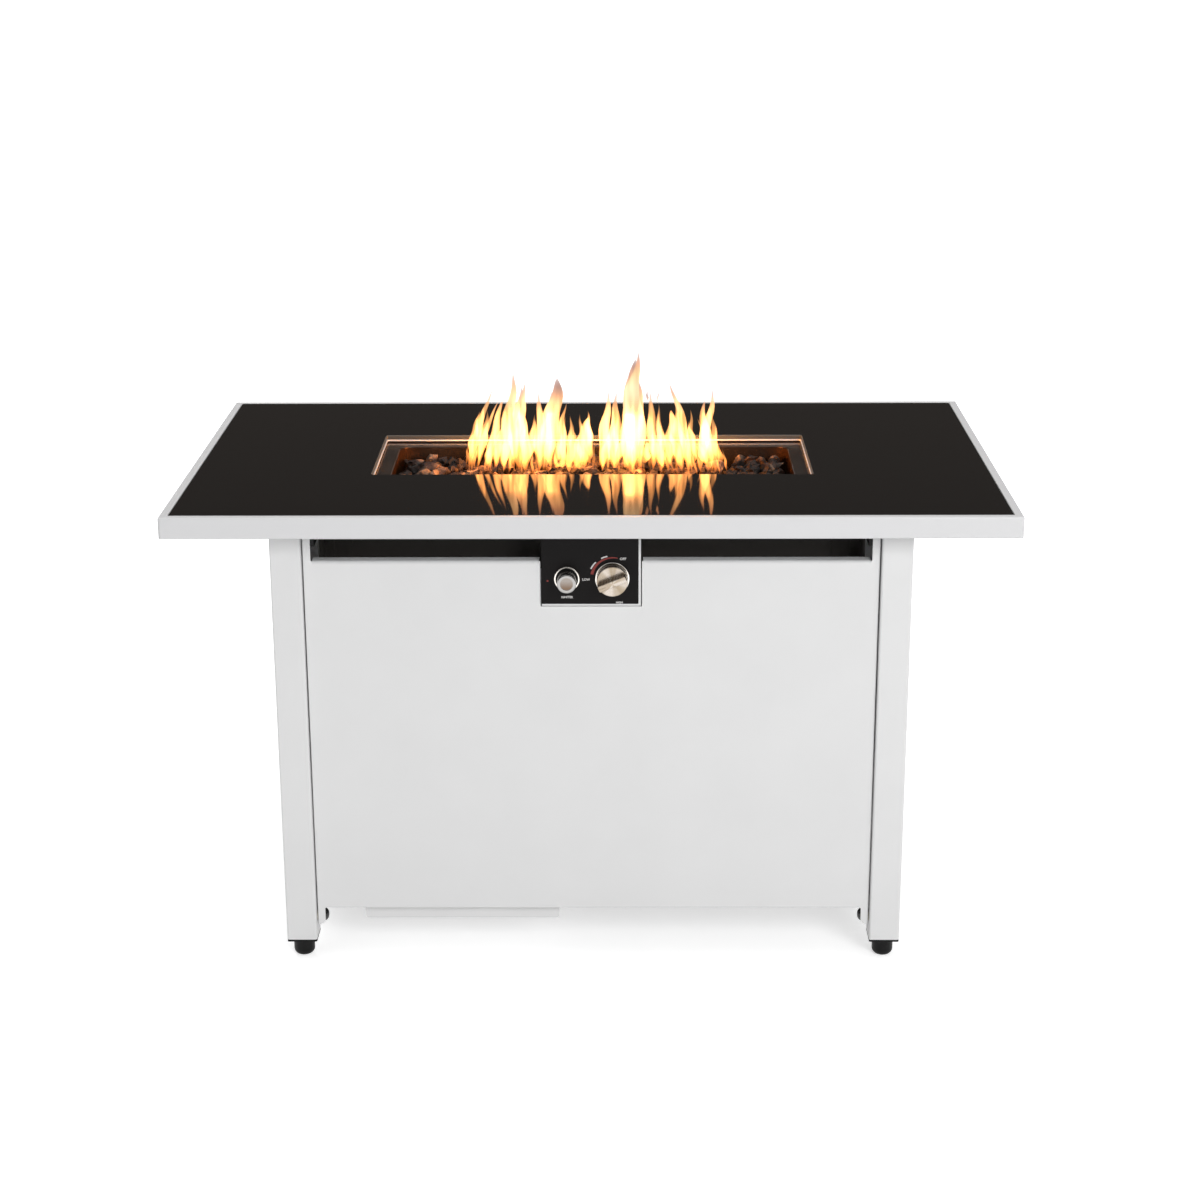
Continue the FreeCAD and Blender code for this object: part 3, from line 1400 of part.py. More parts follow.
def save(name, shape):
    """Write one node. A list of solids goes in as a group."""
    whole = Part.makeCompound(shape) if isinstance(shape, list) else shape
    for solid in whole.Solids:
        if not solid.isValid() or solid.Volume <= 0:
            print("not valid:", name)
    if not isinstance(shape, list) and len(whole.Solids) != 1:
        print("not one solid:", name, len(whole.Solids))
    single = not isinstance(shape, list) and len(whole.Solids) == 1
    if single:
        whole = whole.Solids[0]
    whole.exportStep("parts/%s.step" % name)


front_rail = top_rail(table_length, table_depth)
left_rail = turned(top_rail(table_depth, table_length), -90)
left_panel = side_panel()


def pair(shape, mirror):
    """A shape and its mirror image, as one group."""
    return [shape, mirror(shape)]


save("top_rail_front", front_rail)
save("top_rail_rear", turned(front_rail, 180))
save("top_rail_left", left_rail)
save("top_rail_right", turned(left_rail, 180))
save("glass_top", glass_top())
save("glass_pads", glass_pads())
save("top_deck", top_deck())
save("top_crossmembers", pair(top_crossmember(), mirror_x))
save("fire_bowl", fire_bowl())
save("burner_tube", burner_tube())
save("burner_supports", burner_supports())
save("air_mixer", air_mixer())
save("gas_orifice", gas_orifice())
save("lava_rocks", lava_rocks())
save("igniter_electrode", upright_probe(-probe_x, 8.0))
save("thermocouple_probe", upright_probe(probe_x, 2.0))
save("probe_bracket", probe_bracket())
save("heat_shield", heat_shield())

for end_name, end in (("front", -1), ("rear", 1)):
    for side_name, side in (("left", -1), ("right", 1)):
        save("leg_%s_%s" % (end_name, side_name), cut_all(leg(side, end), leg_screw_holes(side, end)))
        save("foot_%s_%s" % (end_name, side_name), foot(side, end))

save("lower_side_rails", pair(lower_side_rail(), mirror_x))
save("lower_cross_rails", pair(lower_cross_rail(), mirror_y))
save("side_panel_left", left_panel)
save("side_panel_right", mirror_x(left_panel))
save("rear_panel", rear_panel())
save("frame_bolts", frame_bolts())
save("small_screws", small_screws())

save("front_door", front_door())
save("hinge_pins", pair(hinge_pin(), mirror_x))
save("hinge_washers", pair(hinge_washer(), mirror_x))
save("hinge_caps", pair(hinge_cap(), mirror_x))
save("magnet_catches", pair(magnet_catch(), mirror_x))

save("control_box", control_box())
save("control_plate", control_plate())
save("valve_body", valve_body())
save("valve_nut", valve_nut())
save("valve_stem", valve_stem())
save("stem_washer", stem_washer())
save("valve_spring", valve_spring())
save("control_knob", control_knob())
save("knob_bezel", knob_bezel())
save("gas_inlet", gas_inlet())
save("feed_pipe", feed_pipe())
save("igniter_body", igniter_body())
save("igniter_collar", igniter_collar())
save("igniter_button", igniter_button())
save("igniter_spring", igniter_spring())
save("battery", battery())
save("igniter_lead", igniter_lead())
save("thermocouple_line", thermocouple_line())

save("tank_tray", tank_tray())
save("clamp_pad", clamp_pad())
save("clamp_screw", clamp_screw())
save("clamp_knob", clamp_knob())
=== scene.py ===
import math
import random

import bpy
from mathutils import Matrix, Vector, noise


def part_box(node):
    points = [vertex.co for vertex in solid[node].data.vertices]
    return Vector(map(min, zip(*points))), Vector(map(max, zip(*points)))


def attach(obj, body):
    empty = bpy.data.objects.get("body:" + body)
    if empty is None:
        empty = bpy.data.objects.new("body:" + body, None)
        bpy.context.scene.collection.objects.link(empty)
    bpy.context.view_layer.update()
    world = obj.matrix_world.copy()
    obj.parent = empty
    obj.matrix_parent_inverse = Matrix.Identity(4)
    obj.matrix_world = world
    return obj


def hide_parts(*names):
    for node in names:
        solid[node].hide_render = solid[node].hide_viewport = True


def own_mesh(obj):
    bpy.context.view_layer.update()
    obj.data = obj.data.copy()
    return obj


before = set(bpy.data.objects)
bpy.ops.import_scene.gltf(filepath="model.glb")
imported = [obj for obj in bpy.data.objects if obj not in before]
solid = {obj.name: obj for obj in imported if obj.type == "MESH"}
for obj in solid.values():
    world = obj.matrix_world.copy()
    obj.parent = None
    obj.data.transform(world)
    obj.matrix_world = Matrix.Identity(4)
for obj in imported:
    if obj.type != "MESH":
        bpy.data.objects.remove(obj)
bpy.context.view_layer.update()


# Frame, legs and panels: folded and welded sheet steel and square tube, all sprayed with one
# white polyester powder coat and baked. It is a satin, very slightly pebbled skin with soft edges,
# a little greyer where it is thick.
def linear(colour):
    """An sRGB hex colour as linear red, green, blue and an alpha of one."""
    parts = [int(colour[i:i + 2], 16) / 255 for i in (1, 3, 5)]
    return tuple(c / 12.92 if c <= 0.04045 else ((c + 0.055) / 1.055) ** 2.4 for c in parts) + (1.0,)


def put(tree, kind, settings=None, links=None):
    """Adds one shader node, or takes one that is there, sets its values and links its inputs.

    A link comes from a socket, or from a node, which then gives the first output that it has in use.
    """
    node = tree.nodes.new("ShaderNode" + kind) if isinstance(kind, str) else kind
    for name, value in (settings or {}).items():
        if name == "stops":
            while len(node.color_ramp.elements) < len(value):
                node.color_ramp.elements.new(0.5)
            for element, (position, colour) in zip(node.color_ramp.elements, value):
                element.position = position
                element.color = colour
        elif isinstance(name, int) or name in node.inputs:
            node.inputs[name].default_value = value
        else:
            setattr(node, name, value)
    for name, source in (links or {}).items():
        if isinstance(source, bpy.types.Node):
            source = next(socket for socket in source.outputs if socket.enabled)
        tree.links.new(source, node.inputs[name])
    return node


def new_finish(name):
    """A new finish: its node tree, its shader, and the object's own coordinates in metres."""
    finish = bpy.data.materials.new(name)
    finish.use_nodes = True
    tree = finish.node_tree
    tree.nodes.clear()
    shader = put(tree, "BsdfPrincipled")
    put(tree, "OutputMaterial", {}, {"Surface": shader.outputs["BSDF"]})
    place = put(tree, "TexCoord").outputs["Object"]
    return finish, tree, shader, place


def dress(finish, *names):
    """Gives carried-over nodes their finish."""
    for name in names:
        if not solid[name].material_slots:
            solid[name].data.materials.append(None)
        for slot in solid[name].material_slots:
            slot.material = finish


# Lengths are in metres. The lower edge of the top rails is 602 mm over the floor.
mm = 0.001
rail_foot = 602 * mm
white_coat, tree, shader, place = new_finish("white_polyester_powder_coat_satin")
# Orange peel of a sprayed powder: pebbles about 2.2 mm across and a hundredth of a millimetre high.
peel = put(tree, "TexNoise", {"Scale": 1 / (2.2 * mm), "Detail": 2.0, "Roughness": 0.45},
           {"Vector": place})
# The film is thicker in patches about 90 mm across, which shifts its white a very little.
film = put(tree, "TexNoise", {"Scale": 1 / (90 * mm), "Detail": 2.0}, {"Vector": place})
tone = put(tree, "Mix", {"data_type": "RGBA", 6: linear("#E8E8E8"), 7: linear("#E2E2E2")}, {0: film})
# The rails round the top are a touch greyer than the rest of the coat.
level = put(tree, "SeparateXYZ", {}, {0: place})
on_rail = put(tree, "MapRange", {"From Min": rail_foot - 0.5 * mm, "From Max": rail_foot + 0.5 * mm},
              {"Value": level.outputs["Z"]})
coated = put(tree, "Mix", {"data_type": "RGBA", 7: linear("#DCDCDD")}, {0: on_rail, 6: tone})
satin = put(tree, "MapRange", {"To Min": 0.36, "To Max": 0.50}, {"Value": peel})
pebble = put(tree, "Bump", {"Strength": 0.6, "Distance": 0.02 * mm}, {"Height": peel})
put(tree, shader, {"IOR": 1.5, "Coat Weight": 0.25, "Coat Roughness": 0.22},
    {"Base Color": coated, "Roughness": satin, "Normal": pebble})
dress(white_coat, "top_rail_front", "top_rail_rear", "top_rail_left", "top_rail_right",
      "top_crossmembers", "leg_front_left", "leg_front_right", "leg_rear_left", "leg_rear_right",
      "lower_side_rails", "lower_cross_rails", "side_panel_left", "side_panel_right", "rear_panel",
      "front_door", "control_box", "tank_tray")


# Table top: one sheet of 5 mm black tempered glass, ground and chamfered round its edge and round
# the bowl's cut-out. It is a deep black mirror with the faintest wiped smears.
glass, tree, shader, place = new_finish("black_tempered_glass_polished")
# Smears from wiping: broad soft streaks, 160 mm long and 30 mm wide, that only dull the gloss a little.
wipe = put(tree, "Mapping", {"Scale": (1 / (160 * mm), 1 / (30 * mm), 1.0)}, {"Vector": place})
smear = put(tree, "TexNoise", {"Scale": 1.0, "Detail": 4.0, "Distortion": 0.8}, {"Vector": wipe})
# Dust: specks under a millimetre, drawn 1.5 mm apart.
dust = put(tree, "TexNoise", {"Scale": 1 / (1.5 * mm), "Detail": 1.0}, {"Vector": place})
speck = put(tree, "MapRange", {"From Min": 0.70, "From Max": 0.78}, {"Value": dust})
# The ground chamfer is where the surface leans away from level. It is grey and far duller.
facing = put(tree, "SeparateXYZ", {}, {0: put(tree, "NewGeometry").outputs["Normal"]})
level = put(tree, "Math", {"operation": "ABSOLUTE"}, {0: facing.outputs["Z"]})
ground = put(tree, "MapRange", {"From Min": 0.98, "From Max": 0.90}, {"Value": level})
clean = put(tree, "Mix", {"data_type": "RGBA", 6: linear("#070708"), 7: linear("#1B1A1A")}, {0: speck})
edge = put(tree, "Mix", {"data_type": "RGBA", 7: linear("#4A4D4B")}, {0: ground, 6: clean})
polish = put(tree, "MapRange", {"To Min": 0.030, "To Max": 0.062}, {"Value": smear})
dull = put(tree, "Math", {"operation": "MULTIPLY_ADD", 1: 0.35}, {0: ground, 2: polish})
put(tree, shader, {"IOR": 1.52}, {"Base Color": edge, "Roughness": dull})
dress(glass, "glass_top")


# Glass pads and top deck: clear silicone buttons between the glass and the rails' ledge, on a
# deck of hot-dip galvanised sheet whose zinc shows flat frost-like spangles.
silicone, tree, shader, place = new_finish("silicone_rubber_moulded")
# Moulded skin with a 0.5 mm matt grain.
grain = put(tree, "TexNoise", {"Scale": 1 / (0.5 * mm), "Detail": 2.0}, {"Vector": place})
milk = put(tree, "Mix", {"data_type": "RGBA", 6: linear("#DAD8D2"), 7: linear("#C9C6BF")}, {0: grain})
skin = put(tree, "Bump", {"Strength": 0.4, "Distance": 0.03 * mm}, {"Height": grain})
put(tree, shader, {"Roughness": 0.55, "IOR": 1.41, "Subsurface Weight": 0.1,
                   "Subsurface Radius": (2 * mm, 2 * mm, 2 * mm)},
    {"Base Color": milk, "Normal": skin})
dress(silicone, "glass_pads")

galvanised, tree, shader, place = new_finish("galvanised_steel_spangled")
# Zinc spangles 9 mm across, each with its own grey and shine.
spangle = put(tree, "TexVoronoi", {"Scale": 1 / (9 * mm)}, {"Vector": place})
shade = put(tree, "SeparateColor", {}, {"Color": spangle.outputs["Color"]})
zinc = put(tree, "Mix", {"data_type": "RGBA", 6: linear("#A9ADB1"), 7: linear("#C4C8CB")},
           {0: shade.outputs["Red"]})
frost = put(tree, "MapRange", {"To Min": 0.34, "To Max": 0.56}, {"Value": shade.outputs["Green"]})
put(tree, shader, {"Metallic": 1.0}, {"Base Color": zinc, "Roughness": frost})
dress(galvanised, "top_deck", "air_mixer", "clamp_pad")


# Fire bowl: one stepped pan, deep drawn from 304 stainless sheet. Fires have browned its walls and
# ledge to a dark bronze; the ends carry a painted flame glow and the upright wall's upper half a painted
# highlight.
bowl_steel, tree, shader, place = new_finish("stainless_steel_304_heat_browned")
# Brushing lines run along the table. Real ones are 0.1 mm; they are drawn 0.6 mm wide so that they show.
lay = put(tree, "Mapping", {"Scale": (1 / (70 * mm), 1 / (0.6 * mm), 1 / (0.6 * mm))}, {"Vector": place})
brush = put(tree, "TexNoise", {"Scale": 1.0, "Detail": 3.0, "Roughness": 0.6}, {"Vector": lay})
# Temper colours: straw, brown and blue-grey patches about 60 mm across.
heat = put(tree, "TexNoise", {"Scale": 1 / (60 * mm), "Detail": 3.0}, {"Vector": place})
temper = put(tree, "ValToRGB", {"stops": [(0.34, linear("#433D3A")), (0.50, linear("#4B4039")),
                                          (0.66, linear("#574B43"))]},
             {"Fac": heat})
where = put(tree, "SeparateXYZ", {}, {0: place})
bowl_ledge = 620 * mm
# Painted light: the ends are painted amber down their rounded corners, the orange glow of the flames on
# them.
end = put(tree, "Math", {"operation": "ABSOLUTE"}, {0: where.outputs["X"]})
near_end = put(tree, "MapRange", {"From Min": 238 * mm, "From Max": 262 * mm}, {"Value": end})
below = put(tree, "MapRange", {"From Min": bowl_ledge - 1.5 * mm, "From Max": bowl_ledge - 3.5 * mm},
            {"Value": where.outputs["Z"]})
flame_glow = put(tree, "Math", {"operation": "MULTIPLY"}, {0: near_end, 1: below})
temper_and_glow = put(tree, "Mix", {"data_type": "RGBA", 7: linear("#6C4B33")}, {0: flame_glow, 6: temper})
# Painted highlight: the upper half of the upright wall is painted nearly white, rougher and hardly metal,
# for the bright line of light along it.
highlight_rim = put(tree, "MapRange", {"From Min": bowl_ledge + 1.8 * mm, "From Max": bowl_ledge + 2.4 * mm},
          {"Value": where.outputs["Z"]})
colour = put(tree, "Mix", {"data_type": "RGBA", 7: linear("#F4F4F6")}, {0: highlight_rim, 6: temper_and_glow})
drag = put(tree, "MapRange", {"To Min": 0.14, "To Max": 0.22}, {"Value": brush})
rougher = put(tree, "Math", {"operation": "MULTIPLY_ADD", 1: 0.32}, {0: highlight_rim, 2: drag})
lines = put(tree, "Bump", {"Strength": 0.16, "Distance": 0.02 * mm}, {"Height": brush})
paler = put(tree, "MapRange", {"To Min": 0.8, "To Max": 0.2}, {"Value": highlight_rim})
put(tree, shader, {}, {"Base Color": colour, "Roughness": rougher, "Metallic": paler, "Normal": lines})
dress(bowl_steel, "fire_bowl")


# Burner, its saddles, the probe bracket and the valve's stem: stainless tube, strip and bar with a
# brushed mill finish that the heat has tinted straw brown in patches.
stainless, tree, shader, place = new_finish("stainless_steel_304_brushed")
# Brushing lines along the tube, drawn 0.6 mm wide as on the bowl.
lay = put(tree, "Mapping", {"Scale": (1 / (50 * mm), 1 / (0.6 * mm), 1 / (0.6 * mm))}, {"Vector": place})
brush = put(tree, "TexNoise", {"Scale": 1.0, "Detail": 3.0, "Roughness": 0.6}, {"Vector": lay})
bare = put(tree, "Mix", {"data_type": "RGBA", 6: linear("#A59F98"), 7: linear("#C8C1BA")}, {0: brush})
# Straw patches about 35 mm across.
heat = put(tree, "TexNoise", {"Scale": 1 / (35 * mm), "Detail": 3.0}, {"Vector": place})
straw = put(tree, "Mix", {"data_type": "RGBA", 7: linear("#9A7656")}, {0: heat, 6: bare})
drag = put(tree, "MapRange", {"To Min": 0.24, "To Max": 0.42}, {"Value": brush})
put(tree, shader, {"Metallic": 1.0}, {"Base Color": straw, "Roughness": drag})
dress(stainless, "burner_tube", "burner_supports", "probe_bracket", "thermocouple_probe", "valve_stem",
      "stem_washer")


# Igniter electrode: an alumina insulator tube, held in its bracket beside the burner. It is fired
# unglazed, matt cream, with soot near its tip.
ceramic, tree, shader, place = new_finish("alumina_ceramic_unglazed")
# Fired grain about 0.6 mm across.
bisque = put(tree, "TexNoise", {"Scale": 1 / (0.6 * mm), "Detail": 2.0}, {"Vector": place})
soot = put(tree, "MapRange", {"From Min": 572 * mm, "From Max": 592 * mm},
           {"Value": put(tree, "SeparateXYZ", {}, {0: place}).outputs["Z"]})
fired = put(tree, "Mix", {"data_type": "RGBA", 6: linear("#E6DFD0"), 7: linear("#D6CDBB")}, {0: bisque})
sooted = put(tree, "Mix", {"data_type": "RGBA", 7: linear("#6A5A4C")}, {0: soot, 6: fired})
put(tree, shader, {"Roughness": 0.7, "IOR": 1.6}, {"Base Color": sooted})
dress(ceramic, "igniter_electrode")


# Lava rocks: crushed volcanic stone, loose in the bowl. The lumps are sharp, pitted by gas bubbles,
# black and brown to tan, with a dull glassy shine on the freshly broken faces.
def deselect():
    """Leaves object mode with nothing selected."""
    if bpy.context.object and bpy.context.object.mode != "OBJECT":
        bpy.ops.object.mode_set(mode="OBJECT")
    bpy.ops.object.select_all(action="DESELECT")


def join(pieces, name):
    """One object made of several, at the origin."""
    deselect()
    for piece in pieces:
        piece.select_set(True)
    bpy.context.view_layer.objects.active = pieces[0]
    bpy.ops.object.join()
    whole = bpy.context.object
    bpy.ops.object.transform_apply(location=True, rotation=True, scale=True)
    whole.name = whole.data.name = name
    return whole


def cover(piece, finish):
    """Gives a new piece its only finish."""
    piece.data.materials.clear()
    piece.data.materials.append(finish)


lava, tree, shader, place = new_finish("lava_rock_crushed")
# Colour changes from lump to lump, about 28 mm, and the gas pits are 2 to 4 mm across.
lump = put(tree, "TexNoise", {"Scale": 1 / (28 * mm), "Detail": 3.0}, {"Vector": place})
stone = put(tree, "ValToRGB", {"stops": [(0.34, linear("#080605")), (0.46, linear("#1C1410")),
                                         (0.57, linear("#3E2F26")), (0.70, linear("#8C705B"))]},
            {"Fac": lump})
pits = put(tree, "TexVoronoi", {"Scale": 1 / (3.4 * mm)}, {"Vector": place})
crust = put(tree, "TexNoise", {"Scale": 1 / (1.2 * mm), "Detail": 4.0, "Roughness": 0.65},
            {"Vector": place})
rough = put(tree, "Math", {"operation": "MULTIPLY_ADD", 1: 0.6}, {0: crust, 2: pits.outputs["Distance"]})
skin = put(tree, "Bump", {"Strength": 0.8, "Distance": 1.1 * mm}, {"Height": rough})
shine = put(tree, "MapRange", {"From Min": 0.35, "From Max": 0.65, "To Min": 0.22, "To Max": 0.60},
            {"Value": crust})
put(tree, shader, {"Specular IOR Level": 0.32},
    {"Base Color": stone, "Roughness": shine, "Normal": skin})

random.seed(11)
kinds = []
for kind in range(9):
    deselect()
    bpy.ops.mesh.primitive_ico_sphere_add(subdivisions=2, radius=1.0, location=(0, 0, 0))
    rock = bpy.context.object
    shift = Vector((7.3 * kind, 1.7 * kind, 3.1))
    for v in rock.data.vertices:
        out = v.co.normalized()
        bulge = noise.noise(out * 1.3 + shift) * 0.6 + noise.cell(out * 2.6 + shift) * 0.3
        v.co = out * (1.0 + bulge + random.uniform(-0.16, 0.16))
    # Fresh breaks: six flat faces cut across the lump.
    bpy.ops.object.mode_set(mode="EDIT")
    for cut in range(6):
        lean = Vector((random.gauss(0, 1), random.gauss(0, 1), random.gauss(0, 1))).normalized()
        bpy.ops.mesh.select_all(action="SELECT")
        bpy.ops.mesh.bisect(plane_co=lean * random.uniform(0.50, 0.85), plane_no=lean, use_fill=True,
                            clear_outer=True)
    bpy.ops.mesh.select_all(action="SELECT")
    bpy.ops.mesh.dissolve_degenerate(threshold=0.02)
    bpy.ops.mesh.quads_convert_to_tris()
    bpy.ops.object.mode_set(mode="OBJECT")
    bpy.ops.object.shade_smooth_by_angle(angle=math.radians(14))
    kinds.append(rock)


def strewn(low, high, reach, step, steps):
    """Where a lump lies between two walls, a little off its even place in a row."""
    return low + reach + (high - low - 2 * reach) * (step + 0.5 + random.uniform(-0.45, 0.45)) / steps


# Two layers: broad lumps low in the bowl, then smaller ones up to the heap's top. None lies in the
# rounded corners of the bowl.
bed_low, bed_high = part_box("lava_rocks")
heap_top = bed_high.z + 6 * mm
corner = 18 * mm
lumps = []
for columns, rows, size, base in ((14, 4, 22 * mm, 568 * mm), (31, 9, 13.5 * mm, 599 * mm)):
    for i in range(columns):
        for j in range(rows):
            reach = size * random.uniform(0.78, 1.12)
            x = strewn(bed_low.x, bed_high.x, reach, i, columns)
            y = strewn(bed_low.y, bed_high.y, reach, j, rows)
            if abs(x) > bed_high.x - corner and abs(y) > bed_high.y - corner:
                continue
            mound = 6 * mm * math.cos(x / bed_high.x * 6.0) + random.uniform(-4 * mm, 4 * mm)
            angle = random.uniform(0, 6.28)
            axis = Vector((random.gauss(0, 1), random.gauss(0, 1), random.gauss(0, 1)))
            turn = Matrix.Rotation(angle, 4, axis)
            squat = Matrix.Diagonal((reach, reach * random.uniform(0.65, 0.95),
                                     reach * random.uniform(0.5, 0.8), 1))
            copy = random.choice(kinds).copy()
            copy.data = copy.data.copy()
            copy.data.transform(Matrix.Translation((x, y, base + mound)) @ turn @ squat)
            top = max(v.co.z for v in copy.data.vertices)
            if top > heap_top:
                copy.data.transform(Matrix.Translation((0, 0, heap_top - top)))
            bpy.context.scene.collection.objects.link(copy)
            lumps.append(copy)
for rock in kinds:
    bpy.data.objects.remove(rock)
rock_bed = join(lumps, "lava_rock_bed")
cover(rock_bed, lava)
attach(rock_bed, "table")
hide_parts("lava_rocks")


# Heat shield: thin folded steel round the bowl and behind the gap over the door, sprayed with a matt
# black heat-proof coat that shows almost no detail. Its black behind the gap also stands in, as painted
# shade, for the shade inside the table.
black_coat, tree, shader, place = new_finish("black_powder_coat_matt")
# A fine sand texture, 1.2 mm.
sand = put(tree, "TexNoise", {"Scale": 1 / (1.2 * mm), "Detail": 3.0}, {"Vector": place})
soft = put(tree, "Mix", {"data_type": "RGBA", 6: linear("#2B2825"), 7: linear("#393530")}, {0: sand})
skin = put(tree, "Bump", {"Strength": 0.5, "Distance": 0.05 * mm}, {"Height": sand})
put(tree, shader, {"Roughness": 0.62, "IOR": 1.5}, {"Base Color": soft, "Normal": skin})
dress(black_coat, "heat_shield")


# Feet, catches, igniter housing and clamp knob: black moulded polyamide with a fine spark-eroded
# grain that keeps it from shining.
moulded, tree, shader, place = new_finish("black_polyamide_moulded_grained")
# Spark-eroded mould grain, 0.7 mm, and scuffs 9 mm across that show as a faint grey.
grain = put(tree, "TexNoise", {"Scale": 1 / (0.7 * mm), "Detail": 2.0}, {"Vector": place})
scuff = put(tree, "TexNoise", {"Scale": 1 / (9 * mm), "Detail": 4.0}, {"Vector": place})
black = put(tree, "Mix", {"data_type": "RGBA", 6: linear("#050505"), 7: linear("#0C0C0C")}, {0: scuff})
skin = put(tree, "Bump", {"Strength": 0.5, "Distance": 0.04 * mm}, {"Height": grain})
put(tree, shader, {"Roughness": 0.42, "IOR": 1.53, "Specular IOR Level": 0.16},
    {"Base Color": black, "Normal": skin})
dress(moulded, "foot_front_left", "foot_front_right", "foot_rear_left", "foot_rear_right",
      "magnet_catches", "igniter_body", "clamp_knob")


# Hinge caps: domed caps pushed over the ends of the door's pins, just inside the lower front corners.
# They are moulded in polished black ABS plastic.
polished, tree, shader, place = new_finish("black_abs_moulded_polished")
# Flow ripple of the moulding, 6 mm, barely there.
flow = put(tree, "TexNoise", {"Scale": 1 / (6 * mm), "Detail": 1.0}, {"Vector": place})
deepen = put(tree, "Mix", {"data_type": "RGBA", 6: linear("#0C0C0D"), 7: linear("#161617")}, {0: flow})
gloss = put(tree, "MapRange", {"To Min": 0.10, "To Max": 0.20}, {"Value": flow})
put(tree, shader, {"IOR": 1.54}, {"Base Color": deepen, "Roughness": gloss})
dress(polished, "hinge_caps")


# Pins, bolts, screws and nuts: turned and cold-headed steel, bright zinc plated. The plating is
# slightly blue, with faint yellow where it is thick. The door's thrust washers are nylon.
zinc_plate, tree, shader, place = new_finish("steel_bright_zinc_plated")
# Plating bloom, 3 mm.
bloom = put(tree, "TexNoise", {"Scale": 1 / (3 * mm), "Detail": 2.0}, {"Vector": place})
plate = put(tree, "Mix", {"data_type": "RGBA", 6: linear("#BFC4CA"), 7: linear("#CFCBBF")}, {0: bloom})
gloss = put(tree, "MapRange", {"To Min": 0.20, "To Max": 0.36}, {"Value": bloom})
put(tree, shader, {"Metallic": 1.0}, {"Base Color": plate, "Roughness": gloss})
dress(zinc_plate, "frame_bolts", "small_screws", "hinge_pins", "valve_nut", "clamp_screw")

nylon, tree, shader, place = new_finish("nylon_natural_moulded")
# Natural nylon, milky, with a 1 mm mottle.
mottle = put(tree, "TexNoise", {"Scale": 1 / (1.0 * mm), "Detail": 2.0}, {"Vector": place})
natural = put(tree, "Mix", {"data_type": "RGBA", 6: linear("#E4DFD0"), 7: linear("#D5CFBE")}, {0: mottle})
put(tree, shader, {"Roughness": 0.45, "IOR": 1.53}, {"Base Color": natural})
dress(nylon, "hinge_washers")


# Control plate: a steel plate stove-enamelled in gloss black, set in the white box. OFF, HIGH and LOW,
# the igniter's word, the lighting arc and the red dot are screen printed on it.
enamel, tree, shader, place = new_finish("black_enamel_gloss")
# Enamel ripple, 5 mm, and fine dust of 0.8 mm.
ripple = put(tree, "TexNoise", {"Scale": 1 / (5 * mm), "Detail": 2.0}, {"Vector": place})
dust = put(tree, "TexNoise", {"Scale": 1 / (0.8 * mm), "Detail": 2.0}, {"Vector": place})
jet = put(tree, "Mix", {"data_type": "RGBA", 6: linear("#0A0808"), 7: linear("#120F0F")}, {0: dust})
wave = put(tree, "Bump", {"Strength": 0.3, "Distance": 0.05 * mm}, {"Height": ripple})
put(tree, shader, {"Roughness": 0.34, "Specular IOR Level": 0.10}, {"Base Color": jet, "Normal": wave})
dress(enamel, "control_plate")

white_ink, tree, shader, place = new_finish("white_screen_print_ink")
# The mesh of the screen leaves a 0.4 mm unevenness in the ink.
screen = put(tree, "TexNoise", {"Scale": 1 / (0.4 * mm), "Detail": 1.0}, {"Vector": place})
ink = put(tree, "Mix", {"data_type": "RGBA", 6: linear("#E6E4E2"), 7: linear("#C4C1C0")}, {0: screen})
put(tree, shader, {"Roughness": 0.5}, {"Base Color": ink})
red_ink, tree, shader, place = new_finish("red_screen_print_ink")
screen = put(tree, "TexNoise", {"Scale": 1 / (0.4 * mm), "Detail": 1.0}, {"Vector": place})
ink = put(tree, "Mix", {"data_type": "RGBA", 6: linear("#8C2A20"), 7: linear("#6E1F1A")}, {0: screen})
put(tree, shader, {"Roughness": 0.5}, {"Base Color": ink})

# The ink is laid 0.05 mm in front of the plate, and the knob's spindle stands at the middle of the arcs.
ink_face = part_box("control_plate")[0].y - 0.05 * mm
spindle = Vector((27 * mm, ink_face, 534 * mm))
words = []
for word, x, z, size in (("OFF", 40.7, 558.6, 4.6), ("LOW", -6.6, 531.2, 4.2), ("HIGH", 36.0, 500.6, 3.6),
                         ("IGNITER", -31.0, 507.8, 4.0)):
    deselect()
    bpy.ops.object.text_add(rotation=(math.radians(90), 0, 0), location=(x * mm, ink_face, z * mm))
    text = bpy.context.object
    text.data.body = word
    text.data.size = size * mm
    text.data.align_x = "CENTER"
    text.data.offset = 0.13 * mm
    text.data.extrude = 0.04 * mm
    text.data.resolution_u = 3
    bpy.ops.object.convert(target="MESH")
    bpy.ops.object.transform_apply(location=True, rotation=True, scale=True)
    words.append(bpy.context.object)


def printed_arc(radius, width, start, end):
    """A printed stroke round the knob, made by spinning a short edge that points away from it."""
    deselect()
    bpy.ops.mesh.primitive_plane_add(size=width * mm, rotation=(math.radians(90), 0, 0))
    stroke = bpy.context.object
    bpy.ops.object.transform_apply(location=True, rotation=True, scale=True)
    bpy.ops.object.mode_set(mode="EDIT")
    bpy.ops.mesh.select_all(action="DESELECT")
    bpy.ops.object.mode_set(mode="OBJECT")
    for v in stroke.data.vertices:
        v.select = v.co.z < 0
    bpy.ops.object.mode_set(mode="EDIT")
    bpy.ops.mesh.delete(type="VERT")
    bpy.ops.object.mode_set(mode="OBJECT")
    turned = Matrix.Rotation(-math.radians(start), 4, "Y")
    outward = Matrix.Translation((radius * mm, 0, -width / 2 * mm))
    stroke.data.transform(Matrix.Translation(spindle) @ turned @ outward)
    bpy.ops.object.mode_set(mode="EDIT")
    bpy.ops.mesh.select_all(action="SELECT")
    bpy.ops.mesh.spin(steps=24, angle=math.radians(end - start), center=spindle, axis=(0, 1, 0))
    bpy.ops.object.mode_set(mode="OBJECT")
    return stroke


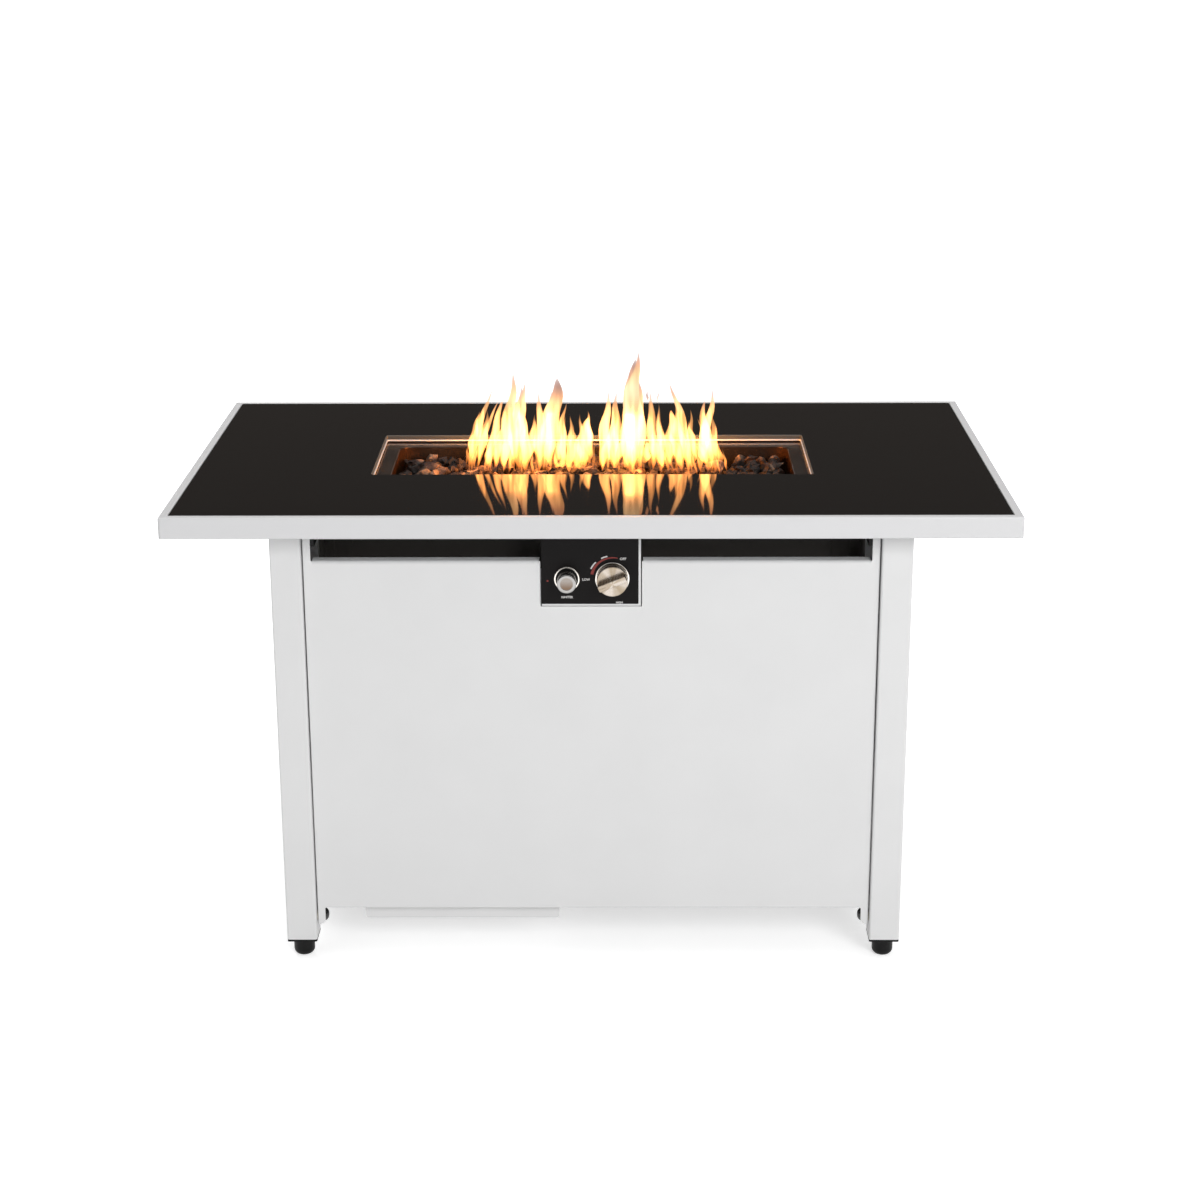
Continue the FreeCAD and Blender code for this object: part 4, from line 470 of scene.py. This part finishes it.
# Two white dashes outside the red lighting arc.
for start, end in ((155, 134), (118, 102)):
    words.append(printed_arc(30.2, 1.7, start, end))
printing = join(words, "control_plate_printing")
cover(printing, white_ink)
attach(printing, "table")

deselect()
bpy.ops.mesh.primitive_circle_add(vertices=24, radius=1.3 * mm, fill_type="NGON",
                                  rotation=(math.radians(90), 0, 0),
                                  location=(-55.8 * mm, ink_face, 530.8 * mm))
red_dot = bpy.context.object
# The arc keeps its outer edge, 28.5 mm from the spindle, and narrows to a third towards OFF.
arc_edge = 28.5
arc_width = 3.8
arc_start = 168
arc_end = 76
red_arc = printed_arc(arc_edge - arc_width / 2, arc_width, arc_start, arc_end)
for v in red_arc.data.vertices:
    spoke = v.co - Vector((spindle.x, v.co.y, spindle.z))
    along = (arc_start - math.degrees(math.atan2(spoke.z, spoke.x))) / (arc_start - arc_end)
    inset = (arc_edge * mm - spoke.length) * (1 - 0.67 * along)
    v.co = v.co - spoke + spoke.normalized() * (arc_edge * mm - inset)
red_marks = join([red_dot, red_arc], "control_plate_red_arc")
cover(red_marks, red_ink)
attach(red_marks, "table")


# Bezel and igniter collar: rings pressed from brass, one round the knob and one round the igniter. They
# are polished and chromium plated, so they mirror the room.
chrome, tree, shader, place = new_finish("chromium_plate_bright")
# Waviness of the pressing, 4 mm, under the plating, and polishing haze of 0.6 mm.
wavy = put(tree, "TexNoise", {"Scale": 1 / (4 * mm), "Detail": 2.0}, {"Vector": place})
haze = put(tree, "TexNoise", {"Scale": 1 / (0.6 * mm), "Detail": 2.0}, {"Vector": place})
warm = put(tree, "Mix", {"data_type": "RGBA", 6: linear("#D9D3CA"), 7: linear("#E6E1DA")}, {0: wavy})
gloss = put(tree, "MapRange", {"To Min": 0.08, "To Max": 0.20}, {"Value": haze})
skin = put(tree, "Bump", {"Strength": 0.2, "Distance": 0.06 * mm}, {"Height": wavy})
put(tree, shader, {"Metallic": 1.0}, {"Base Color": warm, "Roughness": gloss, "Normal": skin})
dress(chrome, "knob_bezel", "igniter_collar")


# Control knob: a zinc die casting, turned on its face and plated in satin champagne nickel. The
# turning lies in rings round the spindle, and painted highlights fan out across them in pale and tan
# sectors.
nickel, tree, shader, place = new_finish("nickel_plate_satin_champagne")
centre = put(tree, "Mapping", {"Location": (-spindle.x, 0, -spindle.z)}, {"Vector": place})
flat = put(tree, "VectorMath", {"operation": "MULTIPLY", 1: (1, 0, 1)}, {0: centre})
away = put(tree, "VectorMath", {"operation": "LENGTH"}, {0: flat})
around = put(tree, "VectorMath", {"operation": "NORMALIZE"}, {0: flat})
# Turning rings are 0.35 mm apart, and drawn 0.9 mm apart so that they show.
rings = put(tree, "TexNoise", {"noise_dimensions": "1D", "Scale": 1 / (0.9 * mm), "Detail": 2.0},
            {"W": away})
# The painted highlight fans are about 40 degrees wide.
highlight_fan = put(tree, "TexNoise", {"Scale": 1.6, "Detail": 1.0}, {"Vector": around})
spread = put(tree, "MapRange", {"From Min": 0.35, "From Max": 0.65}, {"Value": highlight_fan})
highlight_sectors = put(tree, "Mix", {"data_type": "RGBA", 6: linear("#9F907C"), 7: linear("#C4BAB0")}, {0: spread})
turned = put(tree, "Mix", {"data_type": "RGBA", "blend_type": "MULTIPLY", 0: 0.22},
             {6: highlight_sectors, 7: rings.outputs["Color"]})
gloss = put(tree, "MapRange", {"To Min": 0.20, "To Max": 0.34}, {"Value": rings})
skin = put(tree, "Bump", {"Strength": 0.25, "Distance": 0.03 * mm}, {"Height": rings})
put(tree, shader, {"Metallic": 1.0}, {"Base Color": turned, "Roughness": gloss, "Normal": skin})
dress(nickel, "control_knob")


# Igniter button: a chromed cap with a dished face, pressed on a black moulded stem. The dish has a
# painted reflection of the floor, tan below and pale above, inside a painted bright rim highlight.
button, tree, shader, place = new_finish("chrome_cap_on_black_stem")
button_low, button_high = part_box("igniter_button")
axis = (button_low + button_high) / 2
cap_radius = (button_high.x - button_low.x) / 2
centred = put(tree, "Mapping", {"Location": (-axis.x, 0, -axis.z)}, {"Vector": place})
flat = put(tree, "VectorMath", {"operation": "MULTIPLY", 1: (1, 0, 1)}, {0: centred})
away = put(tree, "VectorMath", {"operation": "LENGTH"}, {0: flat})
highlight_rim = put(tree, "MapRange", {"From Min": 0.60 * cap_radius, "From Max": 0.70 * cap_radius},
          {"Value": away})
upper = put(tree, "SeparateXYZ", {}, {0: flat})
rise = put(tree, "MapRange", {"From Min": -0.45 * cap_radius, "From Max": 0.3 * cap_radius},
           {"Value": upper.outputs["Z"]})
# Painted reflection: the dish is tan below and pale above, as the floor would mirror in it.
dish_reflection = put(tree, "Mix", {"data_type": "RGBA", 6: linear("#6E5B4C"), 7: linear("#8C857F")}, {0: rise})
# Polishing haze, drawn 1.5 mm across.
haze = put(tree, "TexNoise", {"Scale": 1 / (1.5 * mm), "Detail": 2.0}, {"Vector": place})
# Painted highlight: the bright rim is this paler grey, with the haze in it.
rim_highlight_colour = put(tree, "Mix", {"data_type": "RGBA", 6: linear("#949290"), 7: linear("#A4A2A0")}, {0: haze})
plated = put(tree, "Mix", {"data_type": "RGBA"}, {0: highlight_rim, 6: dish_reflection, 7: rim_highlight_colour})
# All that lies more than 3 mm behind the face is painted black: the black stem, and the cap's side as
# painted shade inside the collar.
depth = put(tree, "SeparateXYZ", {}, {0: place})
stem = put(tree, "Math", {"operation": "GREATER_THAN", 1: button_low.y + 3 * mm}, {0: depth.outputs["Y"]})
colour = put(tree, "Mix", {"data_type": "RGBA", 7: linear("#141414")}, {0: stem, 6: plated})
metal = put(tree, "Math", {"operation": "SUBTRACT", 0: 1.0}, {1: stem})
gloss = put(tree, "MapRange", {"To Min": 0.14, "To Max": 0.26}, {"Value": haze})
put(tree, shader, {}, {"Base Color": colour, "Metallic": metal, "Roughness": gloss})
dress(button, "igniter_button")


# Valve, inlet and orifice: the body is die-cast aluminium as it left the die, greyish and matt. The
# inlet and the orifice are brass, turned with fine tool rings and screwed in.
cast, tree, shader, place = new_finish("aluminium_die_cast")
# Die skin, 1.6 mm flow marks.
flow = put(tree, "TexNoise", {"Scale": 1 / (1.6 * mm), "Detail": 4.0}, {"Vector": place})
grey = put(tree, "Mix", {"data_type": "RGBA", 6: linear("#9FA1A3"), 7: linear("#B9BABB")}, {0: flow})
skin = put(tree, "Bump", {"Strength": 0.4, "Distance": 0.08 * mm}, {"Height": flow})
put(tree, shader, {"Metallic": 1.0, "Roughness": 0.48}, {"Base Color": grey, "Normal": skin})
dress(cast, "valve_body")

brass, tree, shader, place = new_finish("brass_turned")
# Tool rings are 0.3 mm apart down the thread and hexagon, and drawn 0.8 mm apart so that they show. At
# a scale of one the wave turns through 20 radians in each metre.
rings = put(tree, "TexWave", {"bands_direction": "Z", "Scale": 2 * math.pi / 20 / (0.8 * mm),
                              "Distortion": 0.3}, {"Vector": place})
gold = put(tree, "Mix", {"data_type": "RGBA", 6: linear("#B08B45"), 7: linear("#CBA65C")},
           {0: rings.outputs["Fac"]})
skin = put(tree, "Bump", {"Strength": 0.4, "Distance": 0.05 * mm}, {"Height": rings.outputs["Fac"]})
put(tree, shader, {"Metallic": 1.0, "Roughness": 0.28}, {"Base Color": gold, "Normal": skin})
dress(brass, "gas_orifice", "gas_inlet")


# Feed pipe: soft aluminium tube, drawn to size and bent by hand between the valve and the burner. It
# is dull, with fine draw lines.
drawn, tree, shader, place = new_finish("aluminium_tube_drawn")
# Draw lines, 0.5 mm wide.
draw = put(tree, "TexNoise", {"Scale": 1 / (0.5 * mm), "Detail": 3.0}, {"Vector": place})
dull = put(tree, "Mix", {"data_type": "RGBA", 6: linear("#B4B6B8"), 7: linear("#CACBCC")}, {0: draw})
put(tree, shader, {"Metallic": 1.0, "Roughness": 0.38}, {"Base Color": dull})
dress(drawn, "feed_pipe")


# Springs: cold-drawn carbon spring wire, oiled, grey with darker draw streaks, wound with closed ends.
# Each stands between its seat behind and the button or washer in front.
wire, tree, shader, place = new_finish("spring_steel_wire_drawn")
# Streaks 0.8 mm long.
streak = put(tree, "TexNoise", {"Scale": 1 / (0.8 * mm), "Detail": 3.0}, {"Vector": place})
steel = put(tree, "Mix", {"data_type": "RGBA", 6: linear("#6F7175"), 7: linear("#93969A")}, {0: streak})
put(tree, shader, {"Metallic": 1.0, "Roughness": 0.30}, {"Base Color": steel})


def wound_spring(name, node, thick):
    """A coil along Y of round wire, thick across: three open turns between two closed ends."""
    open_turns = 3
    closed_turns = 0.75
    all_turns = open_turns + 2 * closed_turns
    low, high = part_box(node)
    middle = (low + high) / 2
    radius = (high.x - low.x - thick) / 2
    open_pitch = (high.y - low.y - thick - 2 * closed_turns * thick) / open_turns
    path = bpy.data.curves.new(name, "CURVE")
    path.dimensions = "3D"
    path.bevel_depth = thick / 2
    path.bevel_resolution = 3
    path.use_fill_caps = True
    line = path.splines.new("POLY")
    steps = int(24 * all_turns)
    line.points.add(steps)
    for i in range(steps + 1):
        turned = all_turns * i / steps
        opened = min(max(turned - closed_turns, 0.0), open_turns)
        along = low.y + thick / 2 + (turned - opened) * thick + opened * open_pitch
        angle = 2 * math.pi * turned
        line.points[i].co = (middle.x + radius * math.cos(angle), along,
                             middle.z + radius * math.sin(angle), 1)
    piece = bpy.data.objects.new(name, path)
    bpy.context.scene.collection.objects.link(piece)
    deselect()
    piece.select_set(True)
    bpy.context.view_layer.objects.active = piece
    bpy.ops.object.convert(target="MESH")
    piece = bpy.context.object
    bpy.ops.object.shade_smooth()
    piece.name = piece.data.name = name
    cover(piece, wire)
    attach(piece, "table")
    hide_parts(node)
    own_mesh(piece)


# The igniter's button travels 5 mm of its spring's 11 mm, the valve's washer 3 mm of 9 mm.
wound_spring("igniter_spring_wound", "igniter_spring", 1.2 * mm)
wound_spring("valve_spring_wound", "valve_spring", 1.0 * mm)


# Battery: an AA cell in a plain grey shrink sleeve of PVC, which feeds the igniter. It sits in the
# igniter's housing behind the button.
sleeve, tree, shader, place = new_finish("pvc_shrink_sleeve_grey")
# Faint shrink creases, 5 mm.
crease = put(tree, "TexNoise", {"Scale": 1 / (5 * mm), "Detail": 3.0}, {"Vector": place})
wrap = put(tree, "Mix", {"data_type": "RGBA", 6: linear("#54575B"), 7: linear("#6A6D71")}, {0: crease})
put(tree, shader, {"Roughness": 0.25}, {"Base Color": wrap})
dress(sleeve, "battery")


# Leads: the igniter's wire has red silicone rubber insulation, the thermocouple's line is a bare
# copper tube gone brown in the air.
rubber, tree, shader, place = new_finish("silicone_rubber_red_extruded")
# Talc bloom on the rubber, 2 mm.
talc = put(tree, "TexNoise", {"Scale": 1 / (2 * mm), "Detail": 3.0}, {"Vector": place})
red = put(tree, "Mix", {"data_type": "RGBA", 6: linear("#8E2420"), 7: linear("#A3423A")}, {0: talc})
put(tree, shader, {"Roughness": 0.55, "IOR": 1.42}, {"Base Color": red})
dress(rubber, "igniter_lead")

copper, tree, shader, place = new_finish("copper_tube_tarnished")
# Tarnish patches, 7 mm.
tarnish = put(tree, "TexNoise", {"Scale": 1 / (7 * mm), "Detail": 4.0}, {"Vector": place})
brown = put(tree, "Mix", {"data_type": "RGBA", 6: linear("#B87453"), 7: linear("#8A5038")}, {0: tarnish})
put(tree, shader, {"Metallic": 1.0, "Roughness": 0.35}, {"Base Color": brown})
dress(copper, "thermocouple_line")


# Flames: burning gas over the rocks, not part of the table. Each tongue is a soft, wavering
# volume that glows orange, so that its thick middle looks white and its reflection in the glass golden.
bed_top = 598 * mm
fire = bpy.data.materials.new("burning_gas")
fire.use_nodes = True
tree = fire.node_tree
tree.nodes.clear()
place = put(tree, "TexCoord").outputs["Object"]
rise = put(tree, "SeparateXYZ", {}, {0: place}).outputs["Z"]
# The gas is orange over the rocks and yellower higher up. About the height cool_from it burns out, and
# what goes on above that is thicker to look through and takes the colours of the tips.
cool_from = 697 * mm
along = put(tree, "MapRange", {"From Min": bed_top, "From Max": cool_from}, {"Value": rise})
cool = put(tree, "MapRange", {"From Min": cool_from - 12 * mm, "From Max": cool_from + 18 * mm},
           {"Value": rise})
hue = put(tree, "ValToRGB",
          {"stops": [(0.0, linear("#FF7E2C")), (0.25, linear("#FF9C4A")), (0.6, linear("#FFAE66"))]},
          {"Fac": along})
# Each tongue carries the height of its tip as its object's colour. It turns from yellow through salmon
# to grey over its last 60 mm.
tip_height = put(tree, "SeparateColor", {},
                 {"Color": put(tree, "ObjectInfo").outputs["Color"]}).outputs["Red"]
to_tip = put(tree, "Math", {"operation": "SUBTRACT"}, {0: tip_height, 1: rise})
fade = put(tree, "MapRange", {"From Min": 60 * mm, "From Max": 0.0}, {"Value": to_tip})
embers = put(tree, "ValToRGB",
             {"stops": [(0.1, linear("#FFEFBE")), (0.4, linear("#FFDAA2")), (0.6, linear("#F2B590")),
                        (0.8, linear("#C49A8A")), (1.0, linear("#BCA8A4"))]},
             {"Fac": fade})
heat = put(tree, "Mix", {"data_type": "RGBA"}, {0: cool, 6: hue, 7: embers})
# Streaks 8 mm wide and 60 mm tall run up through the gas.
lay = put(tree, "Mapping", {"Scale": (1 / (8 * mm), 1 / (8 * mm), 1 / (60 * mm))}, {"Vector": place})
streak = put(tree, "TexNoise", {"Scale": 1.0, "Detail": 1.5}, {"Vector": lay})
# They are stronger in the bright gas and fainter where it cools.
dim = put(tree, "MapRange", {"To Min": 0.35, "To Max": 0.85}, {"Value": cool})
flare = put(tree, "MapRange", {"To Min": 1.3, "To Max": 1.1}, {"Value": cool})
flicker = put(tree, "MapRange", {"From Min": 0.40, "From Max": 0.60},
              {"Value": streak, "To Min": dim, "To Max": flare})
# Glow for each metre of gas looked through.
power = put(tree, "ValToRGB", {"stops": [(0.0, (0.22, 0.22, 0.22, 1)), (0.14, (0.6, 0.6, 0.6, 1)),
                                         (0.3, (1, 1, 1, 1))]},
            {"Fac": along})
hot = put(tree, "MapRange", {"To Min": 540.0, "To Max": 800.0}, {"Value": cool})
lit = put(tree, "Math", {"operation": "MULTIPLY"}, {0: power, 1: hot})
steady = put(tree, "Math", {"operation": "MULTIPLY"}, {0: lit, 1: flicker})
# The camera is dazzled to white by the flames, but not by their fainter reflections in the glass, which
# keep the full glow and its warm colour.
in_gloss = put(tree, "LightPath").outputs["Is Glossy Ray"]
mirrored = put(tree, "MapRange", {"To Min": 1.0, "To Max": 1.5}, {"Value": in_gloss})
strength = put(tree, "Math", {"operation": "MULTIPLY"}, {0: steady, 1: mirrored})
warmer = put(tree, "MapRange", {"To Max": 0.45}, {"Value": in_gloss})
shown = put(tree, "Mix", {"data_type": "RGBA", 7: linear("#FF9440")}, {0: warmer, 6: heat})
glow = put(tree, "Emission", {}, {"Color": shown, "Strength": strength})
# The gas also hides what is behind it, and most of all where it cools.
thick = put(tree, "MapRange", {"To Min": 48.0, "To Max": 700.0}, {"Value": cool})
smoke = put(tree, "VolumeAbsorption", {"Color": (0, 0, 0, 1)}, {"Density": thick})
mixed = put(tree, "AddShader", {}, {0: glow, 1: smoke})
put(tree, "OutputMaterial", {}, {"Volume": mixed})


def tongue(number, foot, tip, base, top, width, y, bend, belly=0.8):
    """One tongue of flame: a ball drawn out upward, pinched at both ends and swayed sideways.

    Sizes are in mm. A larger belly makes it broader and blunter at the top.
    """
    deselect()
    bpy.ops.mesh.primitive_uv_sphere_add(segments=16, ring_count=24, radius=1.0)
    flame = bpy.context.object
    for v in flame.data.vertices:
        t = (v.co.z + 1) / 2
        swell = math.sin(math.pi * max(0.0, min(1.0, t)) ** belly) ** (0.92 / belly)
        girth = width / 2 * swell * (1 - 0.35 * t)
        flat = Vector((v.co.x, v.co.y))
        flat = flat.normalized() if flat.length > 1e-6 else flat
        waver = bend * math.sin(t * 5.2 + number) * t + 0.07 * width * math.sin(t * 15 + number * 2.3)
        v.co = Vector((foot + (tip - foot) * t ** 1.3 + waver + flat.x * girth,
                       y + 3 * math.sin(t * 4 + number) + flat.y * girth * 0.8,
                       base + (top - base) * t)) * mm
    bpy.ops.object.shade_smooth()
    flame.name = flame.data.name = "flame_%03d" % number
    flame.data.materials.append(fire)
    flame.color = (top * mm, 0, 0, 1)
    flame.visible_diffuse = False
    flame.visible_shadow = False


random.seed(5)
# The tall tongues: where foot and tip stand along the table, then top, width, bend and belly. Four are
# broad and blunt.
tall = [(-172, -131, 731, 13, 2, 0.8), (-160, -126, 712, 9, 3, 0.8), (-146, -119, 716, 15, -2, 0.8),
        (-122, -108, 749, 22, 3, 0.8), (-114, -88, 740, 16, 4, 0.8), (-104, -101, 728, 24, -3, 0.8),
        (-92, -96, 708, 18, 2, 0.8), (-74, -74, 724, 18, -4, 0.8), (-60, -50, 733, 30, 3, 1.4),
        (-66, -56, 722, 20, 2, 0.8), (-44, -38, 700, 15, -3, 0.8), (-33, -28, 686, 15, 2, 0.8),
        (-14, -9, 681, 24, -2, 1.4), (-22, -18, 666, 14, 2, 0.8), (14, 22, 724, 19, 2, 0.8),
        (30, 30, 722, 20, 2, 0.8), (50, 63, 779, 34, -4, 0.8), (48, 57, 763, 24, -2, 1.4),
        (44, 52, 754, 22, 3, 0.8), (64, 60, 742, 22, -3, 0.8), (84, 78, 724, 17, 3, 0.8),
        (92, 91, 702, 15, -2, 0.8), (104, 108, 688, 20, 3, 1.4), (132, 103, 740, 16, 4, 0.8),
        (120, 114, 696, 20, 2, 0.8), (148, 163, 730, 17, -4, 0.8), (158, 149, 712, 21, 3, 0.8),
        (136, 132, 690, 14, 2, 0.8), (170, 158, 694, 14, 3, 0.8)]
number = 0
for foot, tip, top, width, bend, belly in tall:
    number += 1
    tongue(number, foot, tip, 603, top, width, random.uniform(-4, 16), bend, belly)
for first, last, lean_first, lean_last in ((-170, -4, 16, -2), (14, 176, 8, -20)):
    # The glowing body of each half, and the fine roots that lick out between the rocks under it.
    for step in range(15):
        number += 1
        foot = first + (last - first) * step / 14
        lean = lean_first + (lean_last - lean_first) * step / 14
        tongue(number, foot, foot + lean + random.uniform(-4, 4), random.uniform(610, 620),
               random.uniform(652, 690), random.uniform(11, 17), random.uniform(-14, 26),
               random.uniform(-2, 2))
    for step in range(28):
        number += 1
        foot = first - 6 + (last - first + 12) * step / 27 + random.uniform(-2, 2)
        lean = (lean_first + (lean_last - lean_first) * step / 27) * 0.6
        tongue(number, foot, foot + lean + random.uniform(-5, 5), random.uniform(600, 608),
               random.uniform(634, 662), random.uniform(3.5, 6), random.uniform(-22, 30),
               random.uniform(-3, 3))
# Two curls have broken off over the right half.
for foot, tip, base, top, width in ((75, 73, 704, 722, 5), (88, 90, 702, 722, 4)):
    number += 1
    tongue(number, foot, tip, base, top, width, 0, 1)
# Four small lamps in the fire light the rocks and the bowl. Each has a soft edge of 30 mm.
for x, y in ((-125, -10), (-50, 10), (50, -10), (125, 10)):
    deselect()
    bpy.ops.object.light_add(type="POINT", location=(x * mm, y * mm, 645 * mm))
    lamp = bpy.context.object
    lamp.data.energy = 1.25
    lamp.data.color = linear("#FFA24C")[:3]
    lamp.data.shadow_soft_size = 30 * mm
    lamp.visible_glossy = False


# Studio: a floor of white paper, soft lamps in front, behind and above, and a ring of dark flags that
# only reflections see, as the black cards round a shiny object in a studio.
def shown_white(tree):
    """One for rays from the camera, from gloss and through glass, else nought."""
    path = put(tree, "LightPath").outputs
    seen = put(tree, "Math", {"operation": "MAXIMUM"},
               {0: path["Is Camera Ray"], 1: path["Is Glossy Ray"]})
    return put(tree, "Math", {"operation": "MAXIMUM"}, {0: seen, 1: path["Is Transmission Ray"]})


deselect()
bpy.ops.mesh.primitive_plane_add(size=80, location=(0, 0, -0.2 * mm))
floor = bpy.context.object
floor.name = "studio_floor"
paper, tree, shader, place = new_finish("white_paper_floor")
# Cloudy fibre of the paper, 4 mm.
fibre = put(tree, "TexNoise", {"Scale": 1 / (4 * mm), "Detail": 2.0}, {"Vector": place})
sheet = put(tree, "Mix", {"data_type": "RGBA", 6: linear("#EFEFEF"), 7: linear("#E9E9E9")}, {0: fibre})
put(tree, shader, {"Roughness": 0.9, "Specular IOR Level": 0.0, "Emission Color": (1, 1, 1, 1)},
    {"Base Color": sheet})
# Away from the table the paper glows more, up to plain white 1.7 m out, so it is whiter there than its
# own lit colour.
away = put(tree, "VectorMath", {"operation": "LENGTH"}, {0: place})
sweep = put(tree, "MapRange", {"From Min": 0.6, "From Max": 1.7, "To Min": 0.60, "To Max": 1.0},
            {"Value": away})
lift = put(tree, "Math", {"operation": "MULTIPLY"}, {0: shown_white(tree), 1: sweep})
put(tree, shader, {}, {"Emission Strength": lift})
floor.data.materials.append(paper)

deselect()
bpy.ops.mesh.primitive_cylinder_add(vertices=64, radius=2.7, depth=1.9, end_fill_type="NOTHING",
                                    location=(0, 0, 1.85))
flags = bpy.context.object
flags.name = "studio_black_flags"
card = bpy.data.materials.new("black_flag_cloth")
card.use_nodes = True
tree = card.node_tree
tree.nodes.clear()
dark = put(tree, "Emission", {"Color": linear("#4E4945"), "Strength": 1.0})
put(tree, "OutputMaterial", {}, {"Surface": dark})
flags.data.materials.append(card)
flags.visible_camera = flags.visible_diffuse = flags.visible_shadow = flags.visible_transmission = False

# Key and fill in front, one lamp behind and one above: where, aimed at, size in metres, and watts. Only
# the two in front show in reflections.
for where, aim, size, energy in (((1.9, -4.1, 2.45), (0.1, 0, 0.35), 1.8, 108),
                                 ((-2.6, -4.0, 1.9), (0, 0, 0.35), 2.0, 5),
                                 ((-1.6, 4.2, 2.3), (0, 0, 0.35), 2.0, 80),
                                 ((0.3, 0.2, 3.4), (0, 0, 0.5), 3.0, 32)):
    deselect()
    bpy.ops.object.light_add(type="AREA", location=where)
    lamp = bpy.context.object
    lamp.data.size = size
    lamp.data.energy = energy
    lamp.visible_glossy = where[1] < 0
    lamp.rotation_euler = (Vector(aim) - Vector(where)).to_track_quat("-Z", "Y").to_euler()

# The walls of the studio: white where they are seen, a third as bright as a light on the table.
world = bpy.data.worlds.new("studio")
world.use_nodes = True
bpy.context.scene.world = world
tree = world.node_tree
tree.nodes.clear()
level = put(tree, "MapRange", {"To Min": 0.35, "To Max": 1.0}, {"Value": shown_white(tree)})
sky = put(tree, "Background", {"Color": (1, 1, 1, 1)}, {"Strength": level})
put(tree, "OutputWorld", {}, {"Surface": sky})


# Camera: a 71 mm lens 2.8 m in front of the table and 1.43 m up, looking 18 degrees down on it, as
# worked out from the corners of the top and the legs in the photograph.
deselect()
bpy.ops.object.camera_add(location=(0.03715, -3.14322, 1.43001))
camera = bpy.context.object
camera.data.sensor_width = 36
camera.data.lens = 70.798
camera.data.clip_end = 200
turn = Matrix.Rotation(math.radians(0.517), 3, "Z") @ Matrix.Rotation(math.radians(72.182), 3, "X")
camera.rotation_euler = (turn @ Matrix.Rotation(math.radians(-0.205), 3, "Z")).to_euler()
bpy.context.scene.camera = camera
bpy.context.scene.view_settings.view_transform = "Standard"
